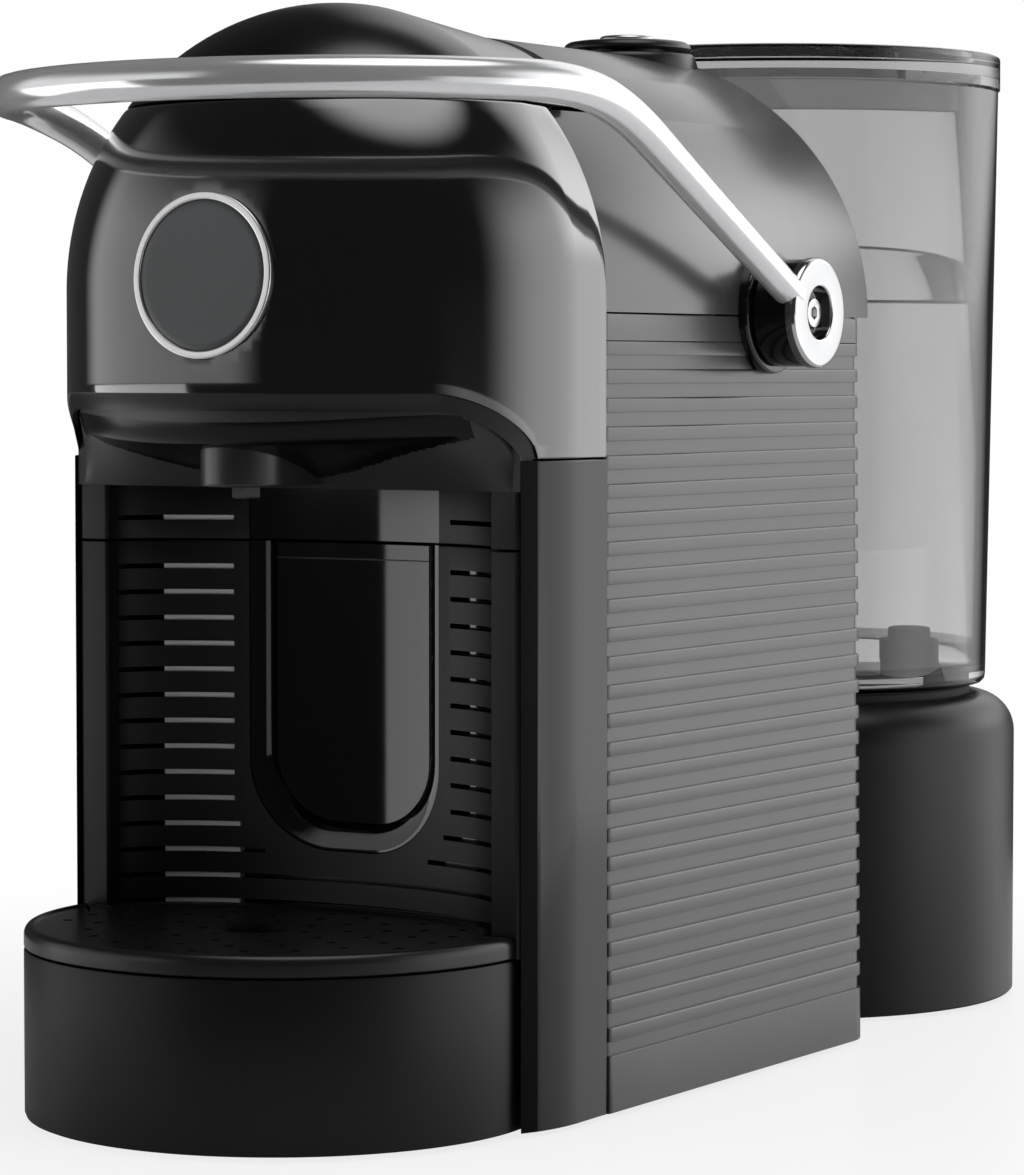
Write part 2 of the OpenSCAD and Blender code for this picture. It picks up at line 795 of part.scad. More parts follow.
module hub_screws() {
    color("silver") both_sides() difference() {
        union() {
            rod_x(hub_in_x + 4.1, hub_out_x - 4, screw_r, axis_y, axis_z);
            rod_x(hub_out_x - 4, hub_out_x - 1.6, 3.2, axis_y, axis_z);
        }
        translate([hub_out_x - 2.8, axis_y, axis_z]) rotate([0, 90, 0])
            cylinder(h = 3, r = 1.6, $fn = 6);
    }
}

module lever_shaft() {
    color("gray") rod_x(-hub_in_x - 4, hub_in_x + 4, shaft_r, axis_y, axis_z);
}

module shaft_collars() {
    color("#151515") both_sides() difference() {
        rod_x(body_in - 3, collar_out_x, collar_r, axis_y, axis_z);
        rod_x(body_in - 5, collar_out_x + 1, shaft_r + shaft_play, axis_y, axis_z);
    }
}

// Two cranks on the shaft, with one pin between them that drives the piston
crank_x = 9;
crank_t = 4;
pin_y = axis_y - crank_r * sin(45);
pin_z = axis_z + crank_r * cos(45);
module drive_crank() {
    color("#8a8c8f") {
        both_sides() difference() {
            along_x(crank_x, crank_x + crank_t) union() {
                translate([axis_y, axis_z]) circle(shaft_r + 3);
                translate([pin_y, pin_z]) circle(crank_pin_r + 2.5);
                translate([axis_y, axis_z]) rotate(135) translate([0, -4]) square([crank_r, 8]);
            }
            rod_x(0, 40, shaft_r, axis_y, axis_z);
        }
        rod_x(-crank_x - eps, crank_x + eps, crank_pin_r, pin_y, pin_z);
    }
}

// ---- Brewing parts ----

pod_front_y = head_y - 13;
pod_back_y = pod_front_y + pod_slot_d;
frame_back_y = axis_y + 14;
module brew_frame() {
    color("#54565a") both_sides() difference() {
        along_x(frame_x, frame_x + frame_t) union() {
            block2([pod_front_y - 12, chamber_foot_z], [frame_back_y, brew_z + 16]);
            block2([bin_back_y + 3, floor_z], [frame_back_y, brew_z]);
        }
        rod_x(frame_x - 1, frame_x + frame_t + 1, shaft_r + shaft_play, axis_y, axis_z);
    }
}

// Fixed half of the chamber, with the coffee outlet down to the spout
module brew_head() {
    color("#303134") difference() {
        union() {
            block([-frame_x, pod_front_y - 12, chamber_foot_z], [frame_x, pod_front_y - 2, brew_z + 16]);
            block([-frame_x, pod_front_y - 12, chamber_foot_z], [frame_x, pod_back_y + 2, brew_z - 23]);
            translate([0, spout_y, chamber_foot_z]) cylinder(h = 16, r = spout_r - 2);
            block([-8, spout_y, brew_z - 20], [8, pod_front_y - 11, brew_z - 10]);
        }
        rod_y(pod_front_y - 6, pod_front_y, 14, 0, brew_z);
        translate([0, spout_y, 0]) cylinder(h = brew_z - 14, r = 2);
    }
}

// The piston slides between the frame plates; the crank pin works in its slot
module brew_piston() {
    face = pod_back_y + fit_gap;
    back = pin_y + 10;
    color("#3c3d40") difference() {
        union() {
            rod_y(face, face + 14, piston_r, 0, brew_z);
            block([-crank_x + 1, face + 13, brew_z - 8], [crank_x - 1, back, brew_z + 12]);
        }
        block([-crank_x, pin_y - crank_pin_r - 0.9, brew_z - 30],
              [crank_x, pin_y + crank_pin_r + 0.9, brew_z + 8]);
        block([-frame_x, pin_y + 6.5, brew_z - 30], [frame_x, back + 10, brew_z - 4]);
    }
}

module piston_seal() {
    color("#8b2f22") difference() {
        rod_y(pod_back_y + fit_gap + 4, pod_back_y + fit_gap + 8, piston_r + 1.5, 0, brew_z);
        rod_y(pod_back_y, pod_back_y + 20, piston_r, 0, brew_z);
    }
}

module hatch_bracket() {
    color("#303134") both_sides() difference() {
        along_x(4.4, 7.4) union() {
            block2([hinge_y - 8, deck_top], [hinge_y + 1, hinge_z - 6]);
            block2([hinge_y - 2.6, deck_top], [hinge_y + 1, hinge_z]);
            translate([hinge_y, hinge_z]) circle(2.6);
        }
        rod_x(4, 10, hinge_pin_r, hinge_y, hinge_z);
    }
}

module hatch_pin() {
    color("silver") rod_x(-7.4, 7.4, hinge_pin_r, hinge_y, hinge_z);
}

module capsule_hatch() {
    color("#141517") resize([0, 0, head_top - hatch_z]) difference() {
        intersection() {
            difference() {
                head_solid(0);
                head_solid(wall);
            }
            block([-100, head_y - 60, hatch_z], [100, hatch_back_y, head_top + 5]);
            union() {
                block([-100, head_y - 60, 0], [100, head_y, 300]);
                translate([0, head_y, 0]) linear_extrude(300)
                    polygon(oval(hatch_a, hatch_b, 0, 360, dome_fn));
            }
        }
        difference() {
            block([-9, hinge_y, hinge_z - 10], [9, hatch_back_y + 5, head_top]);
            hinge_sweep(0);
        }
    }
}

// Knuckle of the hatch, with its arm up to the inside of the hatch
module hatch_hinge() {
    color("#303134") difference() {
        union() {
            rod_x(-4, 4, knuckle_r, hinge_y, hinge_z);
            along_x(-4, 4) block2([hinge_y - 14, hinge_z - 1.5],
                [hinge_y, cover_top - wall - 0.5]);
        }
        rod_x(-5, 5, hinge_pin_r + shaft_play, hinge_y, hinge_z);
    }
}

works_y = (bin_back_y + rear_y) / 2;
boiler_y = works_y - 3.3;
boiler_z = 92;
boiler_h = 48;
module boiler() {
    color("#b8babd") {
        translate([0, boiler_y, boiler_z]) cylinder(h = boiler_h, r = boiler_r);
        block([-frame_x, boiler_y - boiler_r - 2, boiler_z + 8],
              [frame_x, boiler_y - 6, boiler_z + 12]);
        translate([0, boiler_y, boiler_z + boiler_h - eps]) cylinder(h = 8, r = hose_r);
    }
}

pump_y = works_y + 6.8;
pump_z = floor_z + 27;
pump_half_l = 40;
module pump() {
    color("#6c6e71") {
        rod_x(-22, 22, pump_r, pump_y, pump_z);
        block([-16, pump_y - pump_r - 2, pump_z - pump_r - 2],
              [16, pump_y + pump_r + 2, pump_z + pump_r + 2]);
        rod_x(-pump_half_l, pump_half_l, hose_r + 2, pump_y, pump_z);
    }
}

module pump_mounts() {
    color("#222222") both_sides() difference() {
        block([31, pump_y - 10, floor_z], [38, pump_y + 10, pump_z + 12]);
        rod_x(30, 39, hose_r + 2, pump_y, pump_z);
    }
}

module flow_meter() {
    color("#d8d2c0") translate([port_x, port_y, floor_z]) {
        cylinder(h = 14, r = 12);
        cylinder(h = 20, r = hose_r + 1);
    }
}

hose_x = port_x + 1;
hose_z = floor_z + 7;
// From the tank's port down to the flow meter, then forward to the pump
module suction_hose() {
    color("#c9c6b8") {
        translate([port_x, port_y, floor_z + 20]) difference() {
            cylinder(h = tank_base_h - 18 - floor_z - 20, r = hose_r + 2);
            translate([0, 0, -1]) cylinder(h = 100, r = 1.5);
        }
        rod_y(pump_y + 12, port_y - 12, hose_r, hose_x, hose_z);
    }
}

module pressure_hose() {
    x = -(frame_x + frame_t + 16);
    z = boiler_z + 28;
    side = pump_y - boiler_y - hose_r;
    color("#d5d5d5") {
        rod_x(x, -pump_half_l, hose_r, pump_y, pump_z);
        elbow(x, pump_y, pump_z);
        translate([x, pump_y, pump_z]) cylinder(h = z - pump_z, r = hose_r);
        elbow(x, pump_y, z);
        rod_x(x, -sqrt(pow(boiler_r, 2) - pow(side, 2)) - 0.1, hose_r, pump_y, z);
    }
}

// From the top of the heater forward to the piston's guide
module brew_pipe() {
    z = boiler_z + boiler_h + 14;
    color("#d5d5d5") {
        translate([0, boiler_y, z - 6]) cylinder(h = 6, r = hose_r);
        elbow(0, boiler_y, z);
        rod_y(pod_back_y + 42, boiler_y, hose_r, 0, z);
    }
}

module circuit_board() {
    color("#2f6b3a") {
        block([-body_in + 6, bin_back_y + 12, 70], [-body_in + 7.6, rear_y - 18, 150]);
        for (y = [bin_back_y + 18, rear_y - 24], z = [76, 144])
            rod_x(-body_in, -body_in + 6, 2, y, z);
    }
}

// ---- Button ----

module button_base() {
    color("#161616") translate([0, button_y, 0]) difference() {
        union() {
            translate([0, 0, cover_top - 8]) cylinder(h = button_base_top - cover_top + 8,
                r1 = button_r - 1, r2 = button_r - 1);
            translate([0, 0, cover_top - flange_t])
                cylinder(h = button_base_top - cover_top + flange_t,
                    r1 = button_r + 0.9, r2 = button_r + 0.2);
        }
        translate([0, 0, cover_top - 6]) cylinder(h = 20, r = button_stem_r + fit_gap + 0.05);
    }
}

module button_cap() {
    z = button_base_top + button_travel + 0.2;
    color("#121212") translate([0, button_y, 0]) {
        translate([0, 0, z]) rotate_extrude() union() {
            block2([0, 0], [button_r - 1.6, 2.2]);
            block2([0, 0], [button_r, 0.6]);
            translate([button_r - 1.6, 0.6]) intersection() {
                circle(1.6);
                block2([0, 0], [3, 3]);
            }
        }
        translate([0, 0, cover_top - 4]) cylinder(h = z - cover_top + 4 + eps, r = button_stem_r);
    }
}

module button_disc() {
    z = button_base_top + button_travel + 0.2 + 2.2;
    color("#c9cbce") translate([0, button_y, z]) rotate_extrude()
        polygon([[0, 0], [6.8, 0], [6.8, 0.9], [6.2, 1.5], [0, 1.7]]);
}

module cord_gland() {
    color("#151515") difference() {
        union() {
            rod_y(rear_y - wall - 2, rear_y + 4, 5, -corner_x + 10, 16);
            rod_y(rear_y, rear_y + 1.5, 7, -corner_x + 10, 16);
        }
        rod_y(rear_y - 10, rear_y + 10, 3, -corner_x + 10, 16);
    }
}

base_plate();
rubber_feet();
side_panel_right();
side_panel_left();
top_cover();
rear_panel();
front_housing();
side_post_right();
side_post_left();
bay_frame();
coffee_spout();
spout_nozzle();
badge_disc();
badge_ring();
tank_base();
tank_seat_ring();
tank_port();
brew_frame();
brew_head();
hatch_bracket();
hatch_pin();
shaft_collars();
boiler();
pump();
pump_mounts();
flow_meter();
suction_hose();
pressure_hose();
brew_pipe();
circuit_board();
button_base();
cord_gland();
base_screws();
drawer_rails();
lever_bar();
lever_hub_right();
lever_hub_left();
hub_screws();
lever_shaft();
drive_crank();
brew_piston();
piston_seal();
capsule_hatch();
hatch_hinge();
drip_drum();
bay_wall();
pod_bin();
drip_grille();
water_tank();
tank_valve();
valve_poppet();
tank_lid();
button_cap();
button_disc();
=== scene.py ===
import json
import math
import bpy
import bmesh
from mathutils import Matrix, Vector

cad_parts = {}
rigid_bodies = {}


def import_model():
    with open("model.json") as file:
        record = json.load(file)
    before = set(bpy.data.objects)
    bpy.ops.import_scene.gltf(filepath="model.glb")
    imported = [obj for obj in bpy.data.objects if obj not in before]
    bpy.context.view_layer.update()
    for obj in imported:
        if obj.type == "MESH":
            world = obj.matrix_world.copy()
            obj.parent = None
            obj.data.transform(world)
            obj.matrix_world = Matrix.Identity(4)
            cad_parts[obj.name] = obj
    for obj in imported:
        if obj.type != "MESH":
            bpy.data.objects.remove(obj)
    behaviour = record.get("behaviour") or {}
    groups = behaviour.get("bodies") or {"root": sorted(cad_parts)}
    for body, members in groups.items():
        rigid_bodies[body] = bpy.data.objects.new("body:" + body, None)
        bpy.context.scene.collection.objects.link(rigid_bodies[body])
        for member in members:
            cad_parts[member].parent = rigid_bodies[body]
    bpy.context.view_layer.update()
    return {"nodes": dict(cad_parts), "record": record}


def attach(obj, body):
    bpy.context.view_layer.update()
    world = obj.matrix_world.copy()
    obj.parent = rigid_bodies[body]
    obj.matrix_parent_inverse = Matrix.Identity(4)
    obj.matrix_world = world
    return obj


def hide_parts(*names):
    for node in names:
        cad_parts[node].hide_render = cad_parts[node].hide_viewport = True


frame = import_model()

mm = 0.001
record = frame["record"]
bodyOf = {node: body for body, nodes in record["behaviour"]["bodies"].items() for node in nodes}
finishes = {}
print("frame loaded:", len(frame["nodes"]), "solids")


class Signal:  # one output socket, so that shader maths reads as plain sums
    def __init__(self, graph, socket):
        self.graph, self.socket = graph, socket

    def math(self, operation, other=None, swap=False):
        pair = [self] if other is None else [other, self] if swap else [self, other]
        return self.graph.add("ShaderNodeMath", {"operation": operation}, dict(enumerate(pair)))

    def __add__(self, other): return self.math("ADD", other)
    def __sub__(self, other): return self.math("SUBTRACT", other)
    def __mul__(self, other): return self.math("MULTIPLY", other)
    def __truediv__(self, other): return self.math("DIVIDE", other)
    def __rsub__(self, other): return self.math("SUBTRACT", other, swap=True)
    __radd__, __rmul__ = __add__, __mul__


class Graph:  # a shader or geometry tree; add() makes any node
    def __init__(self, tree):
        self.tree = tree

    def add(self, kind, settings=None, sockets=None, out=0):
        node = self.tree.nodes.new(kind)
        for key, value in (settings or {}).items():
            setattr(node, key, value)
        for key, value in (sockets or {}).items():
            if isinstance(value, Signal):
                self.tree.links.new(value.socket, node.inputs[key])
            else:
                node.inputs[key].default_value = value
        return Signal(self, node.outputs[out]) if node.outputs else node

    def blend(self, share, first, second):  # mixes two colours
        return self.add("ShaderNodeMix", {"data_type": "RGBA"}, {0: share, 6: first, 7: second}, out=2)


def newFinish(name):
    material = bpy.data.materials.new(name)
    material.use_nodes = True
    material.node_tree.nodes.clear()
    finishes[name] = material
    return material, Graph(material.node_tree)


def shaded(graph, sockets):  # the shader and its output
    shader = graph.add("ShaderNodeBsdfPrincipled", {}, sockets)
    graph.add("ShaderNodeOutputMaterial", {}, {"Surface": shader})
    return shader


def tone(level, tint=(1, 1, 1)):
    return (level * tint[0], level * tint[1], level * tint[2], 1)


def drifting(level, tint):  # the two tones that a clean surface wanders between
    return tone(level * (1 - patterns["drift"]), tint), tone(min(1, level * (1 + patterns["drift"])), tint)


# How many times a metre each pattern repeats, and the share by which a tone drifts
patterns = {"broad": 28, "smear": 120, "metalGrain": 900, "metalSmear": 60, "brushAcross": 4000,
            "brushAlong": 60,
            "clearBroad": 20, "clearHaze": 60, "drift": 0.03}


def plastic(name, level, tint=(1, 1, 1), rough=0.4, grain=0.35, depth=0.01, mottle=0.06,
            spread=0.05, coat=0, coatRough=0.03, specular=0.5, ior=1.5):
    # Moulded plastic: a fine grain in mm, broad uneven tone, and gloss that varies a little
    material, graph = newFinish(name)
    place = graph.add("ShaderNodeTexCoord", out="Object")
    fine = graph.add("ShaderNodeTexNoise", {}, {"Vector": place, "Scale": 1 / (grain * mm),
                     "Detail": 2, "Roughness": 0.6})
    broad = graph.add("ShaderNodeTexNoise", {}, {"Vector": place, "Scale": patterns["broad"], "Detail": 3})
    smear = graph.add("ShaderNodeTexNoise", {}, {"Vector": place, "Scale": patterns["smear"], "Detail": 4})
    colour = graph.blend(broad, tone(level * (1 - mottle), tint), tone(level * (1 + mottle), tint))
    colour = graph.blend(fine * 0.5, colour, tone(level * (1 - 1.5 * mottle), tint))
    gloss = (smear - 0.5) * spread + (fine - 0.5) * spread + rough
    bump = graph.add("ShaderNodeBump", {}, {"Strength": 0.6, "Distance": depth * mm, "Height": fine})
    shaded(graph, {"Base Color": colour, "Roughness": gloss, "Normal": bump, "IOR": ior,
                   "Specular IOR Level": specular, "Coat Weight": coat, "Coat Roughness": coatRough})
    return material


def metal(name, level, tint=(1, 1, 1), rough=0.1, spread=0.04, brush=None, depth=0.004, metallic=1.0):
    # Polished or brushed metal; brush names the axis that the fine lines run along
    material, graph = newFinish(name)
    place = graph.add("ShaderNodeTexCoord", out="Object")
    stretch = [patterns["metalGrain"]] * 3
    if brush is not None:
        stretch = [patterns["brushAcross"]] * 3
        stretch[brush] = patterns["brushAlong"]
    place = graph.add("ShaderNodeMapping", {}, {"Vector": place, "Scale": stretch})
    lines = graph.add("ShaderNodeTexNoise", {}, {"Vector": place, "Scale": 1, "Detail": 3})
    smear = graph.add("ShaderNodeTexNoise", {}, {"Vector": graph.add("ShaderNodeTexCoord", out="Object"),
                      "Scale": patterns["metalSmear"], "Detail": 4})
    colour = graph.blend(smear, *drifting(level, tint))
    gloss = (smear - 0.5) * spread + (lines - 0.5) * spread + rough
    bump = graph.add("ShaderNodeBump", {}, {"Strength": 0.5, "Distance": depth * mm, "Height": lines})
    shaded(graph, {"Base Color": colour, "Metallic": metallic, "Roughness": gloss, "Normal": bump})
    return material


def clearPlastic(name, level, rough=0.02, ior=1.45, tint=(1, 1, 1), edge=None, specular=0.5):
    # Smoked clear plastic with faint uneven tone and haze; edge is a dark tone painted where it is seen
    # edge-on: painted shade for the dark band that refraction gives at its rim
    material, graph = newFinish(name)
    place = graph.add("ShaderNodeTexCoord", out="Object")
    broad = graph.add("ShaderNodeTexNoise", {}, {"Vector": place, "Scale": patterns["clearBroad"],
                                                 "Detail": 2})
    haze = graph.add("ShaderNodeTexNoise", {}, {"Vector": place, "Scale": patterns["clearHaze"], "Detail": 2})
    colour = graph.blend(broad, *drifting(level, tint))
    # painted shade: the colour turns to the edge tone where the surface is seen edge-on
    if edge is not None:
        aside = graph.add("ShaderNodeLayerWeight", {}, {"Blend": 0.5}, out="Facing")
        colour = graph.blend(graph.add("ShaderNodeMapRange", {"interpolation_type": "SMOOTHSTEP"},
                                       {0: aside, 1: 0.8, 2: 0.985}), colour, tone(edge))
    shaded(graph, {"Base Color": colour, "Roughness": haze * rough * 0.5 + rough * 0.75,
                   "Transmission Weight": 1.0, "IOR": ior, "Specular IOR Level": specular})
    return material


plastic("ribGrey", 0.05, (1, 1.0, 1.02), rough=0.32, grain=0.3, depth=0.01, specular=0.65)
plastic("coverGrey", 0.05, (1, 1.01, 1.03), rough=0.25, grain=0.3, depth=0.004, mottle=0.03, ior=1.8)
plastic("tankBaseGrey", 0.004, (1, 1.0, 1.02), rough=0.33, grain=0.3, depth=0.012, specular=0.25)
plastic("pianoBlack", 0.0035, rough=0.1, grain=2, depth=0.0004, spread=0.02, mottle=0.1, ior=1.6, coat=1.0,
        coatRough=0.04)
plastic("postBlack", 0.0025, rough=0.14, grain=2, depth=0.0004, spread=0.02, mottle=0.1, specular=0.3)
plastic("hatchBlack", 0.0025, rough=0.2, grain=1, depth=0.0008, spread=0.04)
plastic("lipBlack", 0.003, rough=0.35, grain=0.4, depth=0.004, specular=0.3)
plastic("slitBlack", 0.0008, rough=0.6, specular=0.08)
plastic("drumBlack", 0.0035, rough=0.42, grain=0.35, depth=0.02, spread=0.06, specular=0.25)
plastic("grilleBlack", 0.009, rough=0.3, grain=0.6, depth=0.006, specular=0.35)
plastic("baySatin", 0.028, rough=0.42, grain=0.3, depth=0.01, specular=0.35)
plastic("bowlBlack", 0.0025, rough=0.26, grain=0.3, depth=0.004, specular=0.16)
plastic("wallSatin", 0.007, rough=0.42, grain=0.3, depth=0.01, specular=0.3)
plastic("binGloss", 0.003, rough=0.06, grain=1, depth=0.0005, spread=0.02)
# pale finish for the sheets behind the left-hand slots: painted light
plastic("binGrey", 0.8, rough=0.4, grain=0.5, depth=0.002)
plastic("spoutSatin", 0.022, rough=0.34, grain=0.4, depth=0.006, specular=0.4)
plastic("darkMoulded", 0.012, rough=0.45, grain=0.4, depth=0.01)
plastic("hubBlack", 0.004, rough=0.08, grain=1, depth=0.0005, spread=0.02)
plastic("buttonBlack", 0.006, rough=0.32, grain=0.3, depth=0.008, specular=0.4)
plastic("badgeGrey", 0.07, (1, 1.08, 1.14), rough=0.32, grain=0.25, depth=0.006, specular=0.5)
plastic("rubberBlack", 0.01, rough=0.75, grain=0.5, depth=0.02)
plastic("hosePale", 0.45, (1, 0.98, 0.9), rough=0.35, grain=1.2, depth=0.01)
plastic("meterCream", 0.5, (1, 0.95, 0.8), rough=0.5)
plastic("sealRed", 0.16, (1, 0.2, 0.12), rough=0.5)
metal("chrome", 0.78, (0.98, 0.985, 1), rough=0.15, spread=0.02, depth=0.0005, metallic=0.55)
# a darker copy of chrome for the hub caps: painted shade that tones them down under the strong right-hand
# light
metal("capChrome", 0.46, (0.98, 0.985, 1), rough=0.1, spread=0.02, depth=0.0005)
metal("ringSilver", 0.6, rough=0.28)
metal("discSilver", 0.5, rough=0.28, brush=0)
metal("steel", 0.5, rough=0.3, brush=0, depth=0.002)
metal("boilerAluminium", 0.62, rough=0.38, brush=2, depth=0.004)
clearPlastic("smokedClear", 0.64, rough=0.004, edge=0.004)
clearPlastic("lidSmoke", 0.4, rough=0.006, edge=0.003)
clearPlastic("footSmoke", 0.1, rough=0.01, edge=0.003)
clearPlastic("waterClear", 0.93, rough=0.002, ior=1.1, specular=0.0)


def boardFinish():
    material, graph = newFinish("boardGreen")
    place = graph.add("ShaderNodeTexCoord", out="Object")
    tracks = graph.add("ShaderNodeTexBrick", {"offset": 0.5}, {"Vector": graph.add(
        "ShaderNodeMapping", {}, {"Vector": place, "Rotation": (0, math.pi / 2, 0)}),
        "Scale": 220, "Color1": (0.01, 0.1, 0.03, 1), "Color2": (0.015, 0.14, 0.04, 1),
        "Mortar": (0.25, 0.2, 0.06, 1), "Mortar Size": 0.03})
    shaded(graph, {"Base Color": tracks, "Roughness": 0.35})


boardFinish()
print("finishes:", len(finishes))


def fromPoints(name, points, faces, finish, merge=0.003, tidy=True):
    mesh = bpy.data.meshes.new(name)
    mesh.from_pydata([Vector(point) * mm for point in points], [], faces)
    if tidy:
        work = bmesh.new()
        work.from_mesh(mesh)
        bmesh.ops.remove_doubles(work, verts=work.verts, dist=merge * mm)
        bmesh.ops.dissolve_degenerate(work, edges=work.edges, dist=merge * mm / 3)
        bmesh.ops.recalc_face_normals(work, faces=work.faces)
        work.to_mesh(mesh)
        work.free()
    piece = bpy.data.objects.new(name, mesh)
    bpy.context.scene.collection.objects.link(piece)
    for part in [finish] if isinstance(finish, str) else finish:
        mesh.materials.append(finishes[part])
    return piece


def settle(piece, *nodes, body=None, slot=None, angle=35):
    # Shades a finished piece and ties it to its body and the solids it stands for; slot is not used
    piece.data.shade_smooth()
    piece.data.set_sharp_from_angle(angle=math.radians(angle))
    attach(piece, body or bodyOf[nodes[0]])
    if nodes:
        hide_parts(*nodes)
    return piece


def ringFaces(rows, count):  # the faces between rows of points that each close on themselves
    return [(r * count + c, r * count + (c + 1) % count,
             (r + 1) * count + (c + 1) % count, (r + 1) * count + c)
            for r in range(rows - 1) for c in range(count)]


def loopShell(loops):  # joins equal closed loops of points, and caps the ends
    points = [point for loop in loops for point in loop]
    count = len(loops[0])
    caps = [tuple(range(count)), tuple(range(len(points) - 1, len(points) - count - 1, -1))]
    return points, ringFaces(len(loops), count) + caps


def filleted(outline, radius, steps=4):
    # Rounds the corners of a closed outline; radius is one number, or one for each corner by its place
    count, made = len(outline), []
    for i, corner in enumerate(outline):
        r = radius.get(i, 0) if isinstance(radius, dict) else radius
        before, after = Vector(outline[i - 1]), Vector(outline[(i + 1) % count])
        here = Vector(corner)
        if not r:
            made.append(tuple(here))
            continue
        a, b = before - here, after - here
        cut = min(r, a.length * 0.49, b.length * 0.49)
        start, end = here + a.normalized() * cut, here + b.normalized() * cut
        for k in range(steps + 1):
            t = k / steps
            made.append(tuple(start * (1 - t) ** 2 + here * 2 * t * (1 - t) + end * t * t))
    return made


def spun(profile, centre, axis="z", steps=96, ring=False):
    # Turns an outline of (radius, height) round an axis through centre
    rows = [*profile, profile[0]] if ring else profile
    points = []
    for radius, height in rows:
        for k in range(steps):
            turn = 2 * math.pi * k / steps
            p, q = radius * math.cos(turn), radius * math.sin(turn)
            offset = {"z": (p, q, height), "x": (height, p, q), "y": (p, height, q)}[axis]
            points.append(tuple(c + o for c, o in zip(centre, offset)))
    return points, ringFaces(len(rows), steps)


def joined(*parts):  # puts several point-and-face lists into one
    points, faces = [], []
    for morePoints, moreFaces in parts:
        base = len(points)
        points += morePoints
        faces += [tuple(i + base for i in face) for face in moreFaces]
    return points, faces


def mirrored(part):
    points, faces = part
    return [(-x, y, z) for x, y, z in points], [face[::-1] for face in faces]


def shrunk(outline, amount):  # pulls an outline in along its own normals
    count, made = len(outline), []
    area = sum(outline[i - 1][0] * outline[i][1] - outline[i][0] * outline[i - 1][1] for i in range(count))
    turn = 1 if area > 0 else -1
    for i in range(count):
        here = Vector(outline[i])
        a = (here - Vector(outline[i - 1])).normalized()
        b = (Vector(outline[(i + 1) % count]) - here).normalized()
        normal = Vector((-(a.y + b.y), a.x + b.x)) * turn
        made.append(here + normal.normalized() * amount)
    return made


def prism(outline, low, high, axis="z", edge=0.4, steps=3):
    # A solid from an outline, its long edges eased by edge; axis is the way it is pulled
    loops = []
    levels = [(edge * (1 - math.sin(t)), edge * (1 - math.cos(t)))
              for t in [math.pi / 2 * k / steps for k in range(steps + 1)]]
    for back, rise in [*levels, *[(b, -r) for b, r in reversed(levels)]]:
        ring = shrunk(outline, back)
        height = low + rise if len(loops) <= steps else high + rise
        loops.append([{"z": (p.x, p.y, height), "x": (height, p.x, p.y),
                       "y": (p.x, height, p.y)}[axis] for p in ring])
    return loopShell(loops)


def box(low, high, edge=0.5):
    outline = filleted([(low[0], low[1]), (high[0], low[1]), (high[0], high[1]), (low[0], high[1])],
                       max(edge, 0.05), 3)
    return prism(outline, low[2], high[2], edge=edge)


def softenedCopy(name, node, finish, width=0.0):
    # A welded copy of a solid that already has its real shape, with edges eased by width
    source = frame["nodes"][node]
    mesh = source.data.copy()
    work = bmesh.new()
    work.from_mesh(mesh)
    bmesh.ops.remove_doubles(work, verts=work.verts, dist=0.002 * mm)
    bmesh.ops.dissolve_limit(work, angle_limit=math.radians(1), verts=work.verts, edges=work.edges)
    work.to_mesh(mesh)
    work.free()
    mesh.materials.clear()
    piece = bpy.data.objects.new(name, mesh)
    bpy.context.scene.collection.objects.link(piece)
    mesh.materials.append(finishes[finish])
    if width:
        ease = piece.modifiers.new("ease", "BEVEL")
        ease.width, ease.segments, ease.limit_method = width * mm, 2, "ANGLE"
        ease.angle_limit = math.radians(30)
        ease.harden_normals = False
        applied(piece)
    settle(piece, node, angle=30)


def applied(piece):  # the evaluated mesh as a plain mesh, without modifiers
    graph = bpy.context.evaluated_depsgraph_get()
    mesh = bpy.data.meshes.new_from_object(piece.evaluated_get(graph))
    piece.modifiers.clear()
    piece.data = mesh
    return piece


class GeometryTree(Graph):
    def __init__(self, name, inputs):
        tree = bpy.data.node_groups.new(name, "GeometryNodeTree")
        super().__init__(tree)
        tree.interface.new_socket("Geometry", in_out="INPUT", socket_type="NodeSocketGeometry")
        tree.interface.new_socket("Geometry", in_out="OUTPUT", socket_type="NodeSocketGeometry")
        self.ids = {}
        for label, kind, value in inputs:
            socket = tree.interface.new_socket(label, in_out="INPUT", socket_type="NodeSocket" + kind)
            if value is not None:
                socket.default_value = value
            self.ids[label] = socket.identifier
        self.group = tree.nodes.new("NodeGroupInput")
        self.end = tree.nodes.new("NodeGroupOutput")

    def given(self, label="Geometry"):
        return Signal(self, self.group.outputs[label])

    def finishWith(self, geometry):  # every tree ends in real meshes with their material
        real = self.add("GeometryNodeRealizeInstances", {}, {"Geometry": geometry})
        painted = self.add("GeometryNodeSetMaterial", {}, {"Geometry": real,
                           "Material": self.given("Material")})
        self.tree.links.new(painted.socket, self.end.inputs[0])

    def vector(self, operation, first, second=None, out=0):
        pair = {0: first} if second is None else {0: first, 1: second}
        return self.add("ShaderNodeVectorMath", {"operation": operation}, pair, out=out)

    def run(self, piece, values, finish):
        modifier = piece.modifiers.new("build", "NODES")
        modifier.node_group = self.tree
        for label, value in {**values, "Material": finishes[finish]}.items():
            modifier[self.ids[label]] = value
        return applied(piece)


def carrier(name, points, edges=None, faces=None):  # a bare object for a tree to start from
    mesh = bpy.data.meshes.new(name)
    mesh.from_pydata([Vector(point) * mm for point in points], edges or [], faces or [])
    piece = bpy.data.objects.new(name, mesh)
    bpy.context.scene.collection.objects.link(piece)
    return piece


